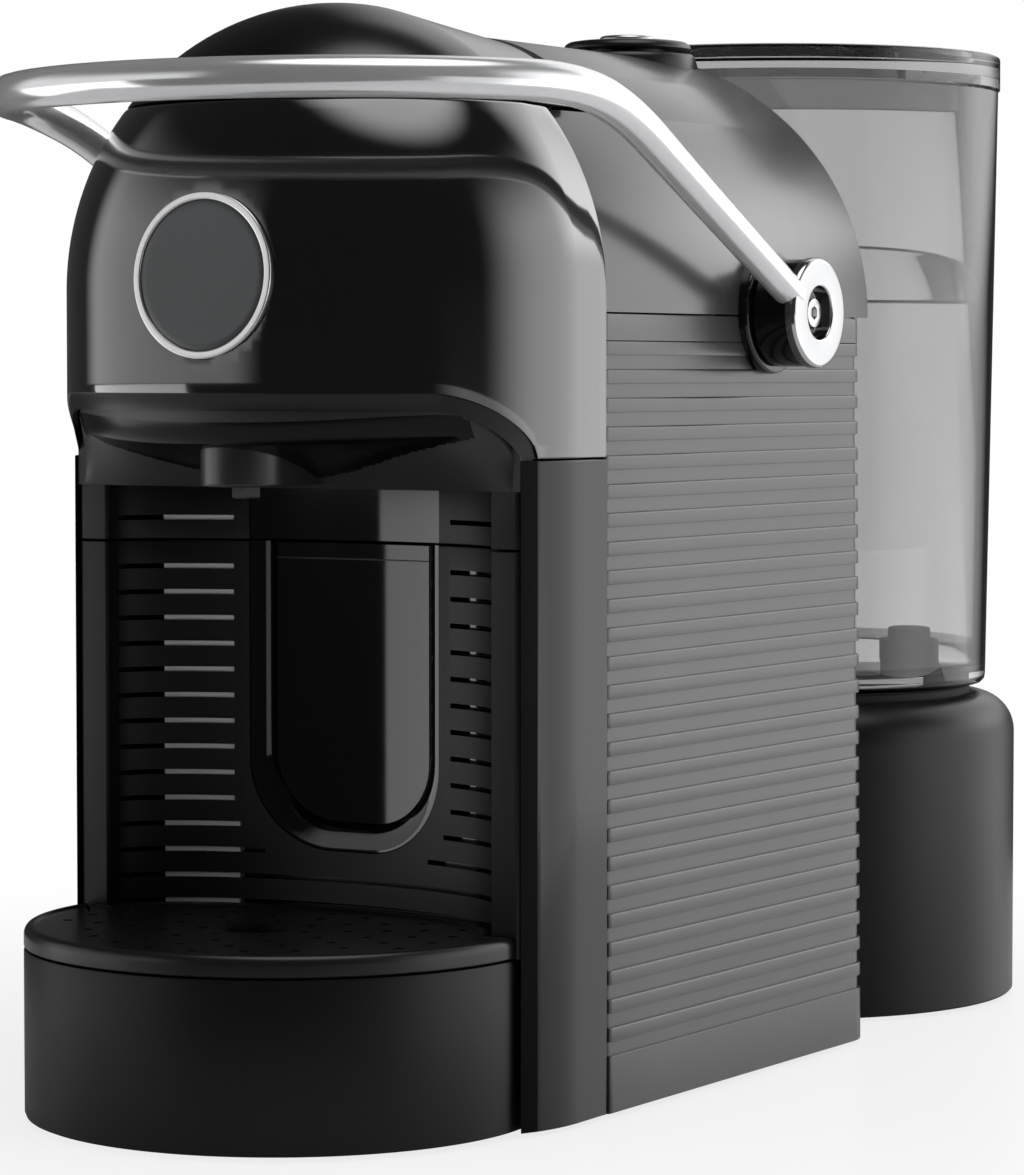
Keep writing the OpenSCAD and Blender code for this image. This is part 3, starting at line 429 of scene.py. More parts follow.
# The main shapes, in mm, that several pieces share
head = {"halfWidth": 62, "bulge": 50, "middleY": -95.6, "domeZ": 178, "rise": 62.4, "seamY": -82.9,
        "backY": -44.6, "wall": 2.4, "hatchZ": 218, "deckZ": 217.4, "splitZ": 142.3, "archZ": 173}
cover = {"radius": 61, "baseZ": 173.3, "crown": 2.5, "wall": 2.4, "frontY": -82.3, "rearY": 42,
         "hatchHalf": 53.2, "hatchBack": 50.2, "hingeY": -48.6, "hingeZ": 230, "ease": 0.45,
         "swing": 7.9, "swingHalf": 8, "swingFall": 0.29}
bay = {"halfWidth": 50, "depth": 22.5, "frontY": -111.6, "wall": 2.4, "inner": 57.6, "splitZ": 123,
       "topZ": 135.5, "floorZ": 37.5}


def archHeight(x, inset=0, base=cover["baseZ"]):  # the top cover's crown line at a distance x
    radius = cover["radius"] - inset
    across = math.sqrt(max(0, 1 - (x / radius) ** 2))
    return base + radius * across + cover["crown"] * across ** 12


def domeHeight(x, y, inset=0):  # top of the head over a point of the plan
    a, b, c = head["halfWidth"] - inset, head["bulge"] - inset, head["rise"] - inset
    across = 1 - (x / a) ** 2
    back = y - head["middleY"]
    if back <= 0:
        return head["domeZ"] + c * math.sqrt(max(0, across - (back / b) ** 2))
    share = back / (head["backY"] - head["middleY"])
    return ((1 - share) * (head["domeZ"] + c * math.sqrt(max(0, across)))
            + share * archHeight(x, inset, head["archZ"]))


def headSide(turn, z, inset=0, back=None):
    # Point on the head's side: turn in degrees round the front, or back, a place behind its middle
    up = max(0, z - head["domeZ"]) / (head["rise"] - inset)
    shrink = math.sqrt(max(0, 1 - up * up))
    a, b = (head["halfWidth"] - inset) * shrink, (head["bulge"] - inset) * shrink
    if back is None:
        t = math.radians(turn)
        return a * math.cos(t), head["middleY"] - b * math.sin(t), z
    radius = cover["radius"] - inset
    rear = math.sqrt(max(0, radius ** 2 - max(0, z - head["archZ"]) ** 2))
    share = (back - head["middleY"]) / (head["backY"] - head["middleY"])
    side = 1 if turn < 90 else -1
    return side * ((1 - share) * a + share * rear), back, z


def bayY(x, offset=0):  # the curved wall's face, set back by offset
    a, b = bay["halfWidth"] + offset, bay["depth"] + offset
    return bay["frontY"] + b * math.sqrt(max(0, 1 - (x / a) ** 2))


def cutAway(piece, cutter, solver="EXACT"):
    cut = piece.modifiers.new("cut", "BOOLEAN")
    cut.object, cut.operation, cut.solver = cutter, "DIFFERENCE", solver
    applied(piece)
    bpy.data.objects.remove(cutter)


def carved(piece, *parts):  # cuts solids out of a piece
    for i, (points, faces) in enumerate(parts):
        cutAway(piece, fromPoints(f"{piece.name}.cutter{i}", points, faces, "darkMoulded"))
    return piece


sides = {"floorHalf": 62.5, "lean": 1.5, "seamZ": 173, "frontY": -82.3, "cornerX": 53, "cornerY": 34,
         "foot": 1, "band": 12.5, "pitch": 6.15, "ridge": 3.1, "step": 0.7, "inner": 3.1, "count": 25,
         "topEase": 0.5, "underEase": 0.12}


def sidePath():  # stations along the side in plan, each with its outward direction
    reach = sides["floorHalf"] - sides["cornerX"]
    stations = [((sides["floorHalf"], y), (1, 0)) for y in (sides["frontY"], sides["frontY"] + 0.3,
                sides["frontY"] + 1, -60, -30, 0, 20, sides["cornerY"])]
    for k in range(1, 17):
        turn = math.radians(90 * k / 16)
        out = (math.cos(turn), math.sin(turn))
        stations.append(((sides["cornerX"] + reach * out[0], sides["cornerY"] + reach * out[1]), out))
    return stations


def sideShell(section, leaning):
    loops = []
    for i, ((x, y), (u, v)) in enumerate(sidePath()):
        ease = {0: 0.35, 1: 0.08}.get(i, 0)
        loop = []
        for d, z in section:
            d -= ease if d > -1.2 else 0
            d -= sides["lean"] * z / sides["seamZ"] if leaning else 0
            loop.append((x + u * d, y + v * d, z))
        loops.append(loop)
    return loopShell(loops)


def ribTree():
    tree = GeometryTree("ribsUpTheSide", [("Count", "Int", 25), ("First Height", "Float", 0.016),
                        ("Pitch", "Float", 0.006), ("Lean", "Float", 0.0015), ("Seam Height", "Float", 0.17),
                        ("Corner", "Vector", None), ("Material", "Material", None)])
    start = tree.add("ShaderNodeCombineXYZ", {}, {"Z": tree.given("First Height")})
    pitch = tree.add("ShaderNodeCombineXYZ", {}, {"Z": tree.given("Pitch")})
    line = tree.add("GeometryNodeMeshLine", {"mode": "OFFSET"}, {"Count": tree.given("Count"),
                    "Start Location": start, "Offset": pitch})
    ribs = tree.add("GeometryNodeInstanceOnPoints", {}, {"Points": line, "Instance": tree.given()})
    ribs = tree.add("GeometryNodeRealizeInstances", {}, {"Geometry": ribs})
    here = tree.add("GeometryNodeInputPosition")
    flat = tree.vector("SUBTRACT", here, tree.given("Corner"))
    x = tree.add("ShaderNodeSeparateXYZ", {}, {0: flat}, out=0)
    y = tree.add("ShaderNodeSeparateXYZ", {}, {0: flat}, out=1)
    z = tree.add("ShaderNodeSeparateXYZ", {}, {0: here}, out=2)
    outward = tree.vector("NORMALIZE", tree.add("ShaderNodeCombineXYZ", {}, {
        "X": x, "Y": y.math("MAXIMUM", 0.0)}))
    inward = z / tree.given("Seam Height") * tree.given("Lean") * -1
    shift = tree.add("ShaderNodeVectorMath", {"operation": "SCALE"}, {0: outward, "Scale": inward})
    tree.finishWith(tree.add("GeometryNodeSetPosition", {}, {"Geometry": ribs, "Offset": shift}))
    return tree


def makeSides():
    low, high = sides["foot"] + sides["band"], sides["foot"] + sides["band"] + sides["count"] * sides["pitch"]
    step, inner, top, foot = sides["step"], sides["inner"], sides["seamZ"], sides["foot"]
    plate = sideShell([(-inner, foot), (-0.5, foot), (-0.15, foot + 0.15), (0, foot + 0.5),
                       (0, low - 0.15), (-0.15, low), (-step, low), (-step, high), (0, high),
                       (0, top - 0.45), (-0.12, top - 0.12), (-0.45, top), (-inner, top)], True)
    ridge, under, over = sides["ridge"], sides["underEase"], sides["topEase"]
    section = [(-step - 0.9, 0), (-under, 0), (-under * 0.3, under * 0.3), (0, under), (0, ridge - over)]
    section += [(-over * (1 - math.cos(t)), ridge - over * (1 - math.sin(t)))
                for t in [math.pi / 2 * k / 4 for k in range(1, 5)]]
    section += [(-step - 0.9, ridge)]
    tree = ribTree()
    for name, node, flip in (("ribbedSideRight", "side_panel_right", False),
                             ("ribbedSideLeft", "side_panel_left", True)):
        points, faces = sideShell(section, False)
        ribs = fromPoints(name, points, faces, "ribGrey")
        ribs = tree.run(ribs, {"Count": sides["count"], "First Height": (low + sides["pitch"] - ridge) * mm,
                               "Pitch": sides["pitch"] * mm, "Lean": sides["lean"] * mm,
                               "Seam Height": top * mm,
                               "Corner": (sides["cornerX"] * mm, sides["cornerY"] * mm, 0)}, "ribGrey")
        plateMesh = fromPoints(name + ".plate", *plate, "ribGrey")
        work = bmesh.new()
        work.from_mesh(ribs.data)
        work.from_mesh(plateMesh.data)
        if flip:
            bmesh.ops.scale(work, vec=(-1, 1, 1), verts=work.verts)
            bmesh.ops.reverse_faces(work, faces=work.faces)
        bmesh.ops.recalc_face_normals(work, faces=work.faces)
        work.to_mesh(ribs.data)
        work.free()
        bpy.data.objects.remove(plateMesh)
        settle(ribs, node, angle=40)


def coverFront(x, z):  # where the cover starts behind the hatch's opening
    front = cover["frontY"]
    if z > head["deckZ"]:
        oval = 1 - (x / cover["hatchHalf"]) ** 2
        front = max(front, head["middleY"] + cover["hatchBack"] * math.sqrt(max(0, oval)))
        swing = cover["swing"] - max(0, abs(x) - cover["swingHalf"]) * cover["swingFall"]
        front = max(front, cover["hingeY"] + math.sqrt(max(0, swing ** 2 - (z - cover["hingeZ"]) ** 2)))
    return front


rearPanel = {"half": 52.7, "foot": 4.3, "shoulder": 174, "frontY": 39.6, "gap": 0.3}


def makeCover():
    ease, wall, rear = cover["ease"], cover["wall"], cover["rearY"]
    turns = [180 * k / 200 for k in range(201)]
    notch = math.degrees(math.asin((head["deckZ"] - cover["baseZ"]) / cover["radius"]))
    turns += [notch - 0.01, notch + 0.05, 180 - notch + 0.01, 180 - notch - 0.05]
    loops = []
    for turn in sorted(turns):
        t = math.radians(turn)

        def at(inset, y):
            x = (cover["radius"] - inset) * math.cos(t)
            return x, y, archHeight(x, inset) if 0.5 < turn < 179.5 else cover["baseZ"]
        x, _, z = at(0, 0)
        front = max(coverFront(x, z), coverFront(x, z - wall))
        loops.append([at(wall, front), at(ease, front), at(ease * 0.3, front + ease * 0.3),
                      at(0, front + ease), at(0, rear - ease * 1.6), at(ease * 0.45, rear - ease * 0.45),
                      at(ease * 1.6, rear), at(wall, rear)])
    points, faces = loopShell(loops)
    piece = fromPoints("topCover", points, faces, "coverGrey")
    settle(piece, "top_cover", angle=32)


def makeRearPanel():
    inset = cover["wall"] + rearPanel["gap"]
    half, foot, shoulder = rearPanel["half"], rearPanel["foot"], rearPanel["shoulder"]
    arch = [(x, archHeight(x, inset, sides["seamZ"])) for x in
            [(cover["radius"] - inset) * math.cos(math.pi * k / 60) for k in range(61)]]
    outline = [(half, foot), (half, shoulder), *arch, (-half, shoulder), (-half, foot)]
    panel = fromPoints("rearPanel", *prism(outline, rearPanel["frontY"], cover["rearY"], axis="y", edge=0.3),
                       "coverGrey")
    settle(panel, "rear_panel", angle=32)


hatch = {"halfWidth": 52, "back": 49, "spokes": 160, "rings": 26, "ease": 0.25}
lip = {"outerHalf": 59.9, "outerZ": 156, "outerR": 14, "innerHalf": 57.9, "innerZ": 152.4, "innerR": 13,
       "sink": 0.9, "stops": (-87, -91), "inside": (200, 190, 178, 166), "rows": 30, "badgeR": 17.5,
       "badgeY": -144.6, "badgeZ": 180.6, "badgeLean": 3}


def lipAt(x):
    # Outer edge height of the lip at x, with the matching inner edge (x, z)
    outerFlat, innerFlat = lip["outerHalf"] - lip["outerR"], lip["innerHalf"] - lip["innerR"]
    side, x = (1 if x > 0 else -1), abs(x)
    if x >= lip["outerHalf"]:
        return head["splitZ"], None
    if x <= outerFlat:
        return lip["outerZ"], (side * x * innerFlat / outerFlat, lip["innerZ"])
    s = (x - outerFlat) / lip["outerR"]
    c = math.sqrt(max(0, 1 - s * s))
    return (max(head["splitZ"], lip["outerZ"] - lip["outerR"] * (1 - c)),
            (side * (innerFlat + lip["innerR"] * s),
             max(head["splitZ"], lip["innerZ"] - lip["innerR"] * (1 - c))))


def frontAt(x, z, inset):  # the head's front at a given x
    up = max(0, z - head["domeZ"]) / (head["rise"] - inset)
    shrink = math.sqrt(max(0, 1 - up * up))
    a, b = (head["halfWidth"] - inset) * shrink, (head["bulge"] - inset) * shrink
    return x, head["middleY"] - b * math.sqrt(max(0, 1 - (x / a) ** 2)), z


def badgeFrame(u, v, w):  # a point of the badge's own plane: across, up and out
    lean = math.radians(lip["badgeLean"])
    return (u, lip["badgeY"] - w * math.cos(lean) + v * math.sin(lean),
            lip["badgeZ"] + v * math.cos(lean) + w * math.sin(lean))


def domeReach(turn, height, inset, gap=0.0):
    # How far from the head's middle its dome, inset, stays above a height; gap is left inside the hatch's cut
    u, v = math.cos(turn), math.sin(turn)
    low, high = 5.0, 70.0
    for _ in range(40):
        reach = (low + high) / 2
        inside = domeHeight(reach * u, head["middleY"] + reach * v, inset) > height
        low, high = (reach, high) if inside else (low, reach)
    if v > 0:
        low = min(low, 1 / math.hypot(u / (hatch["halfWidth"] - gap), v / (hatch["back"] - gap)))
    return low


def makeHousing():
    sideStops = (head["seamY"], head["seamY"] - 0.3, head["seamY"] - 1.2, *lip["stops"])
    stations = [(0, y) for y in sideStops]
    corner = math.degrees(math.acos(lip["outerHalf"] / head["halfWidth"]))
    turns = sorted({*range(181), corner - 0.02, corner + 0.02, 180 - corner - 0.02, 180 - corner + 0.02})
    stations += [(turn, None) for turn in turns]
    stations += [(180, y) for y in reversed(sideStops)]
    loops = []
    for turn, back in stations:
        seamEase = {head["seamY"]: 0.5, head["seamY"] - 0.3: 0.12}.get(back, 0)
        x0 = headSide(turn, 150, 0, back)[0]
        low, inner = lipAt(x0)
        top, loop = head["deckZ"], []
        for k in range(lip["rows"] + 1):
            z = low + 0.5 + (top - 0.6 - low - 0.5) * (k / lip["rows"])
            loop.append(headSide(turn, z, seamEase, back))
        loop += [headSide(turn, top - 0.08, 0.08 + seamEase, back), headSide(turn, top, 0.3 + seamEase, back),
                 headSide(turn, top, head["wall"], back)]
        loop += [headSide(turn, z, head["wall"], back) for z in lip["inside"]]
        if inner is None or back is not None:
            loop += [headSide(turn, low, head["wall"], back)] * 3
            loop += [headSide(turn, low, 0.6 + seamEase, back),
                     headSide(turn, low + 0.12, 0.12 + seamEase, back)]
        else:
            xi, zi = inner
            loop += [frontAt(xi, zi + 2, lip["sink"] + 1.6), frontAt(xi, zi, lip["sink"] + 1.2),
                     frontAt(xi, zi, lip["sink"] + 0.3)]
            mid = 0.93
            loop += [frontAt(xi + (x0 - xi) * mid, zi + (low - zi) * mid, lip["sink"] * 0.5),
                     headSide(turn, low + 0.1, 0.05, back)]
        loops.append(loop)
    lean = math.radians(lip["badgeLean"])
    for loop in loops:  # a flat seat under the badge
        for i, (x, y, z) in enumerate(loop):
            up = (z - lip["badgeZ"]) / math.cos(lean)
            if math.hypot(x, up) < lip["badgeR"] - 1 and y < -130:
                seat = badgeFrame(x, up, -1)
                loop[i] = (x, max(y, seat[1]), z)
    points, faces = loopShell(loops)
    piece = fromPoints("headHousing", points, faces, ["pianoBlack", "lipBlack"], merge=0.001)
    for face in piece.data.polygons:  # the lip's band and the inside are plain black
        centre = face.center / mm
        low, inner = lipAt(centre.x)
        onBand = inner and centre.z < low + 0.06 and centre.y < -100
        face.material_index = 1 if onBand else 0
    settle(piece, "front_housing", angle=38)


deck = {"thick": 2, "inset": 1, "seamHalf": 45.4, "notchHalf": 36, "notchY": -47.6, "slotHalf": 19,
        "slotY": (-108.6, -90.6), "slotR": 4, "rimTurns": (-14, 195), "rimGap": 3}


def makeDeck():  # the floor under the hatch, with the slot that takes the pod
    shrink = math.sqrt(1 - ((head["deckZ"] - head["domeZ"]) / head["rise"]) ** 2)
    a, b = head["halfWidth"] * shrink - deck["inset"], head["bulge"] * shrink - deck["inset"]
    outline = [(a * math.cos(t), head["middleY"] - b * math.sin(t))
               for t in [math.pi * k / 60 for k in range(61)]]
    notch, half, seam, top = deck["notchHalf"], deck["seamHalf"], head["seamY"], head["deckZ"]
    back = []
    for k in range(25):
        x = -notch + 2 * notch * k / 24
        reach = hatch["back"] * math.sqrt(1 - (x / hatch["halfWidth"]) ** 2)
        back.append((x, min(deck["notchY"], head["middleY"] + reach)))
    outline += [(-half, seam), (-notch, seam), *back, (notch, seam), (half, seam)]
    floor = fromPoints("podDeck", *prism(outline, top - deck["thick"], top, edge=0.2), "slitBlack")
    a, (front, rear) = deck["slotHalf"], deck["slotY"]
    slot = filleted([(-a, front), (a, front), (a, rear), (-a, rear)], deck["slotR"], 5)
    carved(floor, prism(slot, top - 8, top + 6, edge=0.05))
    # A low rim on the deck stands inside the hatch's edge, and keeps light out of the joint
    rim = []
    section = ((0, -1), (0, 1.7), (0.2, 2), (1, 2), (1.2, 1.8), (1.2, -1))
    for turn in range(*deck["rimTurns"], 2):
        t = math.radians(-turn)
        reach = domeReach(t, top + 2.2, head["wall"] + 0.5, gap=deck["rimGap"])
        rim.append([((reach - d) * math.cos(t), head["middleY"] + (reach - d) * math.sin(t), top + z)
                    for d, z in section])
    rim = fromPoints("deckRim", *loopShell(rim), "slitBlack")
    settle(rim, body="machine", slot="black_matte")
    settle(floor, body="machine", slot="black_gloss")
    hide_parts("front_housing")


post = {"inner": 57.8, "foot": 1, "top": 142, "bandY": -108.8, "at": 100}  # "at" is any height below the dome


def makePosts():
    for name, node, flip in (("sidePostRight", "side_post_right", False),
                             ("sidePostLeft", "side_post_left", True)):
        outline = [(post["inner"], head["seamY"])]
        outline += [(headSide(0, post["at"], 0, y)[0], y) for y in (head["seamY"], *lip["stops"])]
        last = math.degrees(math.acos(lip["outerHalf"] / head["halfWidth"]))
        outline += [headSide(last * k / 14, post["at"])[:2] for k in range(15)]
        x, y, _ = frontAt(post["inner"] + 0.15, post["at"], 0.45)
        outline += [(x + 0.1, y + 0.05), (post["inner"], y + 0.5)]
        points, faces = prism(outline[::-1], post["foot"], post["top"], edge=0.35)
        if flip:
            points, faces = mirrored((points, faces))
        piece = fromPoints(name, points, faces, ["postBlack", "slitBlack"])
        for face in piece.data.polygons:
            centre = face.center / mm
            if centre.y < post["bandY"] and abs(face.normal.z) < 0.3:
                face.material_index = 1
        settle(piece, node, angle=12)


def makeHatch():
    rows, wall, ease = [], head["wall"], hatch["ease"]
    turns = [2 * math.pi * k / hatch["spokes"] for k in range(hatch["spokes"])]
    outer = [domeReach(t, head["hatchZ"] + 0.02, 0) for t in turns]
    inner = [min(domeReach(t, head["hatchZ"] + 0.02, wall), o) for t, o in zip(turns, outer)]

    def row(share, reaches, inset, drop=0.0, back=0.0):
        made = []
        for t, reach in zip(turns, reaches):
            r = max(0, reach * share - back)
            x, y = r * math.cos(t), head["middleY"] + r * math.sin(t)
            made.append((x, y, max(head["hatchZ"] if share == 1 else 0, domeHeight(x, y, inset) - drop)))
        return made
    shares = [0.985 * math.sin(math.pi / 2 * k / (hatch["rings"] - 1)) for k in range(hatch["rings"])]
    rows += [row(s, outer, 0) for s in shares]
    rows += [row(1, outer, 0, 0, ease), row(1, outer, 0, ease * 0.3, ease * 0.25), row(1, outer, 0, ease)]
    rows += [row(1, inner, wall)] + [row(s, inner, wall) for s in reversed(shares[::3])]
    points = [point for r in rows for point in r]
    piece = fromPoints("podHatch", points, ringFaces(len(rows), len(turns)), "hatchBlack")
    settle(piece, "capsule_hatch", angle=50)


makeSides()
makeCover()
makeRearPanel()
makeHousing()
makeDeck()
makePosts()
makeHatch()
print("body and head made")


def badgeSolid(profile):  # turns an outline of (radius, out) in the badge's own frame
    points, faces = spun(profile, (0, 0, 0))
    return [badgeFrame(x, y, z) for x, y, z in points], faces


badge = {"discR": 15.75, "ringIn": 15.8, "ringOut": 17.5, "back": -1.2, "proud": 0.3}


def makeBadge():
    r, back = badge["discR"], badge["back"]
    disc = [(0, back), (r - 0.25, back), (r, back + 0.1), (r, -0.15), (r - 0.25, -0.02), (14, 0), (7, 0),
            (0, 0)]
    settle(fromPoints("badgeDisc", *badgeSolid(disc), "badgeGrey"), "badge_disc")
    a, b, proud = badge["ringIn"], badge["ringOut"], badge["proud"]
    ring = filleted([(a, back), (a, proud), (b, proud), (b, back)], 0.35, 4)
    settle(fromPoints("badgeRing", *badgeSolid([*ring, ring[0]]), "ringSilver"), "badge_ring", angle=60)


# Rows of slots, counted down from the drawer's seam: first and last row, and how near the middle they come
slots = {"height": 1.1, "pitch": 5.76, "top": 123.6, "far": 49.5, "frameZ": 127.55,
         "groups": ((1, 10, 28.5), (11, 11, 26.3), (12, 12, 21.5), (13, 14, None))}
window = {"half": 25, "foot": 54.5, "corner": 20, "rim": 5, "sink": 2.8}


def slotTree():
    tree = GeometryTree("slotsInTheWall", [("Count", "Int", 14), ("Top", "Float", 0.12),
                        ("Pitch", "Float", 0.0055), ("Material", "Material", None)])
    start = tree.add("ShaderNodeCombineXYZ", {}, {"Z": tree.given("Top")})
    pitch = tree.add("ShaderNodeCombineXYZ", {}, {"Z": tree.given("Pitch") * -1})
    line = tree.add("GeometryNodeMeshLine", {"mode": "OFFSET"}, {"Count": tree.given("Count"),
                    "Start Location": start, "Offset": pitch})
    copies = tree.add("GeometryNodeInstanceOnPoints", {}, {"Points": line, "Instance": tree.given()})
    tree.finishWith(copies)
    return tree


def planOutline(offset=0.0):  # the curved wall in plan with its two uprights
    a, b, front = bay["halfWidth"], bay["depth"], bay["frontY"]
    w = bay["wall"]
    edge = filleted([(bay["inner"], front + 6), (bay["inner"], front), (a, front)], {1: 1.6}, 4)[:-1]
    inside = [(a * math.cos(t), front + b * math.sin(t)) for t in [math.pi * k / 96 for k in range(97)]]
    outside = [((a + w) * math.cos(t), front + (b + w) * math.sin(t))
               for t in [math.pi * k / 96 for k in range(97)] if (b + w) * math.sin(t) > 6]
    left = [(-x, y) for x, y in reversed(edge)]
    return [*edge, (a + 0.4, front + 0.05), *inside[1:-1], (-a - 0.4, front + 0.05), *left,
            *reversed(outside)]


def slotCutters():
    # Bars in two groups beside the window; the lowest ones run right across
    tree = slotTree()
    pieces = []
    for first, last, near in slots["groups"]:
        for side in (1, -1) if near else (0,):
            low = -slots["far"] if side < 1 else near
            high = slots["far"] if side > -1 else -near
            outline = filleted([(low, -slots["height"] / 2), (high, -slots["height"] / 2),
                                (high, slots["height"] / 2), (low, slots["height"] / 2)], 0.25, 2)
            points, faces = prism(outline, bay["frontY"] + 1.2, bay["frontY"] + 30, axis="y", edge=0.01,
                                  steps=1)
            bar = fromPoints(f"slots{first}.{side + 1}", points, faces, "lipBlack")
            top = slots["top"] - first * slots["pitch"] - slots["height"] / 2
            pieces.append(tree.run(bar, {"Count": last - first + 1, "Top": top * mm,
                                         "Pitch": slots["pitch"] * mm}, "lipBlack"))
    return pieces


def windowPath(inset=0.0, top=bay["splitZ"], steps=14):  # down the left side, round the foot, up the right
    half, foot, r = window["half"] - inset, window["foot"] + inset * 1.3, window["corner"] - inset
    path = [(-half, z) for z in (top, top - 8, (top + foot) / 2, foot + r + 6)]
    path += [(-half + r - r * math.cos(t), foot + r - r * math.sin(t))
             for t in [math.pi / 2 * k / steps for k in range(steps + 1)]]
    path += [(-half + r + (2 * half - 2 * r) * k / 8, foot) for k in range(1, 8)]
    path += [(-x, z) for x, z in reversed(path[:4 + steps + 1])]
    path = [point for i, point in enumerate(path)
            if i == 0 or (Vector(point) - Vector(path[i - 1])).length > 0.02]
    return path


def makeWall():
    wall = fromPoints("curvedWall", *prism(planOutline(), bay["floorZ"], bay["splitZ"], edge=0.25),
                      "wallSatin")
    outline = windowPath(top=bay["splitZ"] + 10)
    carved(wall, prism(outline, bay["frontY"] + 6, bay["frontY"] + 60, axis="y", edge=0.01, steps=1))
    for cutter in slotCutters():
        cutAway(wall, cutter)
    settle(wall, "bay_wall", angle=32)
    outer, inner, sink = windowPath(), windowPath(window["rim"]), window["sink"]
    loops = []
    for (x, z), (u, w) in zip(outer, inner):
        def at(share, depth):
            px, pz = x + (u - x) * share, z + (w - z) * share
            return px, bayY(px, depth), pz
        loops.append([at(0, 0.35), at(0.04, 0.14), at(0.1, 0.14), at(0.66, 0.5), at(0.71, 0.66),
                      at(0.96, sink - 0.3),
                      at(1, sink), at(1, sink + 1.6), at(0, 2.3)])
    rim = fromPoints("windowRim", *loopShell(loops), "binGloss")
    settle(rim, body="drawer", slot="black_gloss", angle=28)


binBox = {"half": 42, "backY": -30.27, "foot": 37.6, "top": 119.4, "behind": 2.7, "wall": 2, "lipHalf": 24.8,
          "lipRise": 3.3, "lipThick": 1.6, "paintedLight": (27.6, 43), "paintedLightZ": (40, 119.8)}


def wallArc(half, count):  # the face of the pod bin, which follows the curved wall
    return [(half * k / count, bayY(half * k / count, binBox["behind"])) for k in range(-count, count + 1)]


def makeBin():
    half, back, foot, top, wall = (binBox[key] for key in ("half", "backY", "foot", "top", "wall"))
    outline = [(half, back), *reversed(wallArc(half, 40)), (-half, back)]
    podBin = fromPoints("podBin", *prism(outline, foot, top, edge=0.3), "binGloss")
    front, a = bayY(0, binBox["behind"]) + wall, half - wall
    room = filleted([(a, back - wall), (a, front), (-a, front), (-a, back - wall)], 4, 4)
    carved(podBin, prism(room, foot + wall, top + 12, edge=1.2))
    arc = wallArc(binBox["lipHalf"], 24)
    rim = [*reversed(arc), *((x, y + binBox["lipThick"]) for x, y in arc)]
    settle(fromPoints("podBinLip", *prism(rim, top - 0.1, top + binBox["lipRise"], edge=0.1, steps=2),
                      "binGloss"),
           body="drawer", slot="black_gloss", angle=8)
    settle(podBin, "pod_bin", angle=8)
    near, far = binBox["paintedLight"]
    arc = [-near - (far - near) * k / 16 for k in range(17)]  # pale sheets behind the slots on the left only: painted light for the reflection those slots catch
    paintedLight = [*((x, bayY(x, 0.5)) for x in arc), *((x, bayY(x, 2.2)) for x in reversed(arc))]
    settle(fromPoints("slotPaintedLight.-1", *prism(paintedLight, *binBox["paintedLightZ"], edge=0.01, steps=1), "binGrey"),
           body="drawer", slot="dark_part")
    settle(fromPoints("bandPaintedLight.-1", *prism(paintedLight, bay["splitZ"] + 0.8, bay["topZ"] - 0.5, edge=0.01,
                                              steps=1),
                      "binGrey"), body="machine", slot="dark_part")


def makeBayFrame():
    top = bay["topZ"]
    band = fromPoints("bayBand", *prism(planOutline(), bay["splitZ"] + 0.4, top + 0.4, edge=0.25),
                      "wallSatin")
    half = window["half"]
    carved(band, prism([(-half, 100), (half, 100), (half, 160), (-half, 160)], bay["frontY"] + 6,
                       bay["frontY"] + 60, axis="y", edge=0.01, steps=1))
    z, side, far = slots["frameZ"], slots["groups"][0][2], slots["far"]
    settle(carved(band, *[prism([(n, z), (f, z), (f, z + slots["height"]), (n, z + slots["height"])],
                                bay["frontY"] + 1.2, bay["frontY"] + 30, axis="y", edge=0.01, steps=1)
                          for n, f in ((side, far), (-far, -side))]), "bay_frame", angle=32)
    loops = []
    for k in range(25):
        x = -half + 2 * half * k / 24
        loops.append([(x, bayY(x, 0.5), bay["splitZ"] + 0.5), (x, bayY(x, 0.5), top + 0.3),
                      (x, bayY(x, 2.3), top + 0.3), (x, bayY(x, 2.3), bay["splitZ"] + 0.5)])
    settle(fromPoints("bayPanel", *loopShell(loops), "binGloss"), body="machine", slot="black_gloss")


bowl = {"foot": 138.2, "rise": 10.5, "half": 56, "fall": 0.29, "curl": 4, "reach": 3.5}


def bowlHeight(x, y, frontY):  # underside of the dark bowl, which curls up to the lip at its front
    curl = (1 - min(1, (y - frontY) / bowl["reach"])) ** 2.5
    return (bowl["foot"] + bowl["rise"] * (abs(x) / bowl["half"]) ** 2.2 - bowl["fall"] * (y + 116)
            + bowl["curl"] * curl)


ceiling = {"half": 57.55, "lipFlat": 44.9, "lipR": 13, "lipZ": 152.2, "top": 153.6, "columns": 130,
           "rows": 44}


